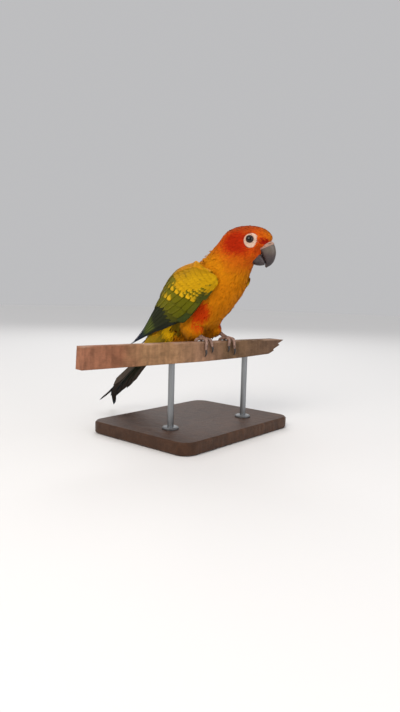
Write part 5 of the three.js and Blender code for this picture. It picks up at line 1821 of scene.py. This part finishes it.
# small scales about 0.9 mm across, on tones that change over about 3 mm
cells = add_node(tree, "TexVoronoi", {"Vector": object_places(tree), "Scale": 1100.0},
                 feature="DISTANCE_TO_EDGE")
uneven = add_node(tree, "TexNoise", {"Vector": object_places(tree), "Scale": 350.0, "Detail": 4.0})
tone = add_node(tree, "ValToRGB", {"Fac": uneven.outputs["Fac"]},
                stops=[(0.3, "5E463C"), (0.7, "A08070")])
bump = add_node(tree, "Bump", {"Height": cells.outputs["Distance"], "Distance": 0.0002, "Strength": 0.7})
fill(tree, shader, {"Base Color": tone.outputs["Color"], "Normal": bump.outputs["Normal"],
                    "Roughness": 0.6})
# the claws' horn is smoother than the bill's, with faint growth marks about 1 mm long
claw_horn, tree, shader = new_material("claw_horn")
grain = add_node(tree, "TexNoise", {"Vector": object_places(tree), "Scale": 900.0, "Detail": 3.0})
tone = add_node(tree, "ValToRGB", {"Fac": grain.outputs["Fac"]}, stops=[(0.0, "1E1A19"), (1.0, "3E3633")])
fill(tree, shader, {"Base Color": tone.outputs["Color"], "Roughness": 0.35})
print("materials so far:", len(bpy.data.materials))

# %% [markdown]
# Each foot is a shank and four toes in one piece, and its claws are a piece of their own.

# %% Feet and claws


def toe_and_claw(middle, side, toe):
    """The paths of one toe over the lath's edge and of the claw that carries it on."""
    way, root, tip, drop, radius = toe
    rim = LATH_THICK / 2
    over, top = rim + radius + TOE_CLEAR, radius + TOE_CLEAR
    shares = (0, 0.3, 0.6, 0.8, 1, 0.95, 1.05, 1.1)
    at = [middle + side * (root + (tip - root) * share) for share in shares]
    path = [[way * -0.5, at[0], top + 1.2], [way * rim * 0.55, at[1], top + 0.5],
            [way * (rim + 0.75 * radius), at[2], top - 0.9], [way * over, at[3], -0.45 * drop],
            [way * over, at[4], -drop]]
    claw = [[way * (over + 0.2), at[5], -0.88 * drop], [way * (over + 0.9), at[4], -drop - 1.6],
            [way * (over + 0.3), at[6], -drop - 4.2], [way * (over - 1.2), at[7], -drop - 6.2]]
    return path, claw


for side, end in ((1, "left"), (-1, "right")):
    middle = side * FOOT_SPACING
    shank = [[x, middle + side * y, z] for x, y, z in SHANK]
    limbs = [tube_object("shank", limb_rings(shank, SHANK_HALF, 40, 20, 9, 0.12))]
    claws = []
    for toe in TOES:
        path, claw = toe_and_claw(middle, side, toe)
        limbs.append(tube_object("toe", limb_rings(path, TOE_HALF * toe[-1], 48, 16, 11, 0.16)))
        claws.append(tube_object("claw", limb_rings(claw, CLAW_HALF, 16, 12)))
    foot = joined(limbs, "foot_skin_" + end)
    foot.data.materials.append(scaly)
    nails = joined(claws, "claws_" + end)
    nails.data.materials.append(claw_horn)
    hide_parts("foot_" + end)
    for piece in (foot, nails):
        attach(piece, "root")
    print(end, "foot, triangles:", triangles_in(foot, nails))

# %% [markdown]
# ## Lath and stand
#
# The bird grips a weathered strip of sawn wood. The stand is ours: a stained base, two steel rods.

# %% Wood
LATH_STOPS = [(0.0, "95644C"), (0.17, "85573F"), (0.27, "95704F"), (0.38, "94704F"), (0.55, "8A6851"),
              (0.66, "6E543C"), (1.0, "5C4638")]
BASE_STOPS = [(0.0, "3E281B"), (1.0, "49301F")]
LATH_HEIGHT, BASE_HEIGHT = 0.094, 0.05  # places of the upper edges painted paler as a highlight, in metres
LATH_FROM, LATH_TO = -0.145, 0.115  # where the tones along the strip start and end, in metres


def wood(name, stops, ring_spacing_mm, roughness, axis_yaw, highlight_height):
    """Sawn wood: tones that change along the strip, with grain, saw marks, stains and a painted highlight
    along the upper edge.
    """
    material, tree, shader = new_material(name)
    places = object_places(tree)
    along = add_node(tree, "Mapping", {"Vector": places, "Rotation": (0, 0, -axis_yaw),
                                       "Scale": (1, 0.06, 1)})
    fibres = add_node(tree, "TexNoise", {"Vector": along.outputs["Vector"], "Detail": 6.0,
                                         "Scale": 1000 / ring_spacing_mm, "Roughness": 0.7})
    # the saw left upright marks about 4 mm apart
    upright = add_node(tree, "Mapping", {"Vector": places, "Scale": (0.2, 1, 0.12)})
    marks = add_node(tree, "TexNoise", {"Vector": upright.outputs["Vector"], "Scale": 250.0,
                                        "Detail": 2.0})
    # stains about 10 mm across, where damp has soaked in
    stains = add_node(tree, "TexNoise", {"Vector": places, "Scale": 100.0, "Detail": 3.0,
                                         "Roughness": 0.6, "Distortion": 0.4})
    strength = 1.0
    for noise, least, most in ((fibres, 0.9, 1.08), (marks, 0.86, 1.12), (stains, 0.78, 1.2)):
        share = add_node(tree, "MapRange", {"Value": noise.outputs["Fac"], "From Min": 0.35,
                                            "From Max": 0.65, "To Min": least, "To Max": most})
        product = add_node(tree, "Math", {0: strength, 1: share.outputs[0]}, operation="MULTIPLY")
        strength = product.outputs[0]
    parts = add_node(tree, "SeparateXYZ", {"Vector": places})
    # the tone runs along the strip, and its borders wander by some millimetres
    wander = add_node(tree, "TexNoise", {"Vector": places, "Scale": 60.0, "Detail": 3.0})
    place = add_node(tree, "Math", {0: wander.outputs["Fac"], 1: 0.03, 2: parts.outputs["Y"]},
                     operation="MULTIPLY_ADD")
    share = add_node(tree, "MapRange", {"Value": place.outputs[0], "From Min": LATH_FROM,
                                        "From Max": LATH_TO})
    tone = add_node(tree, "ValToRGB", {"Fac": share.outputs[0]}, stops=stops)
    colour = add_node(tree, "VectorMath", {0: tone.outputs["Color"], "Scale": strength},
                      operation="SCALE")
    # the upper edge is painted paler in patches, 1.6 mm deep at most: a painted highlight
    edge = add_node(tree, "MapRange", {"Value": parts.outputs["Z"], "From Min": highlight_height - 0.0016,
                                       "From Max": highlight_height - 0.0004})
    patchy = add_node(tree, "MapRange", {"Value": wander.outputs["Fac"], "From Min": 0.45,
                                         "From Max": 0.6, "To Max": 0.6})
    painted_highlight = add_node(tree, "Math", {0: edge.outputs[0], 1: patchy.outputs[0]}, operation="MULTIPLY")
    paler = add_node(tree, "Mix", {"Factor": painted_highlight.outputs[0], "A": colour.outputs["Vector"],
                                   "B": rgba("B4947E")}, data_type="RGBA")
    bump = add_node(tree, "Bump", {"Height": strength, "Distance": 0.0007, "Strength": 0.8})
    fill(tree, shader, {"Base Color": paler.outputs["Result"], "Normal": bump.outputs["Normal"],
                        "Roughness": roughness, "Specular IOR Level": 0.2})
    return material


# Sawn pine left in the weather: grey brown, rough, its grain about 1.1 mm apart
lath_wood = wood("weathered_sawn_pine", LATH_STOPS, 1.1, 0.85, LATH_YAW, LATH_HEIGHT)
# Beech under a dark stain: close grain, a low satin gloss
base_wood = wood("stained_beech", BASE_STOPS, 1.6, 0.45, 0.0, BASE_HEIGHT)
print("tones along the lath:", len(LATH_STOPS))

# %% [markdown]
# The rods are drawn steel. Lath, base and rods are plain shapes, so the measured solids stay as
# they are and only get their finishes.

# %% Steel, and all finishes on the measured solids
# Drawn rod, brushed along its length: a satin metal with fine lengthwise scratches
steel, tree, shader = new_material("brushed_steel")
stretched = add_node(tree, "Mapping", {"Vector": object_places(tree), "Scale": (1, 1, 0.02)})
brushing = add_node(tree, "TexNoise", {"Vector": stretched.outputs["Vector"], "Scale": 3000.0,
                                       "Detail": 2.0})
rough = add_node(tree, "MapRange", {"Value": brushing.outputs["Fac"], "To Min": 0.25, "To Max": 0.5})
fill(tree, shader, {"Base Color": rgba("8E9092"), "Metallic": 1.0, "Roughness": rough.outputs[0]})
for node, material in (("lath", lath_wood), ("stand_base", base_wood),
                       ("stand_rod_near", steel), ("stand_rod_far", steel)):
    slots = frame["nodes"][node].data.materials
    slots.clear()
    slots.append(material)
    print(node, "is", material.name)

# %% [markdown]
#
# The dressed model keeps the measured size to within a millimetre. We write both boxes and
# finish.

# %% Sizes
visual_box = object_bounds()
for label, (low, high) in (("solids", cad_box), ("dressed", visual_box)):
    print(label, "mm:", [round((b - a) * 1000, 1) for a, b in zip(low, high)])
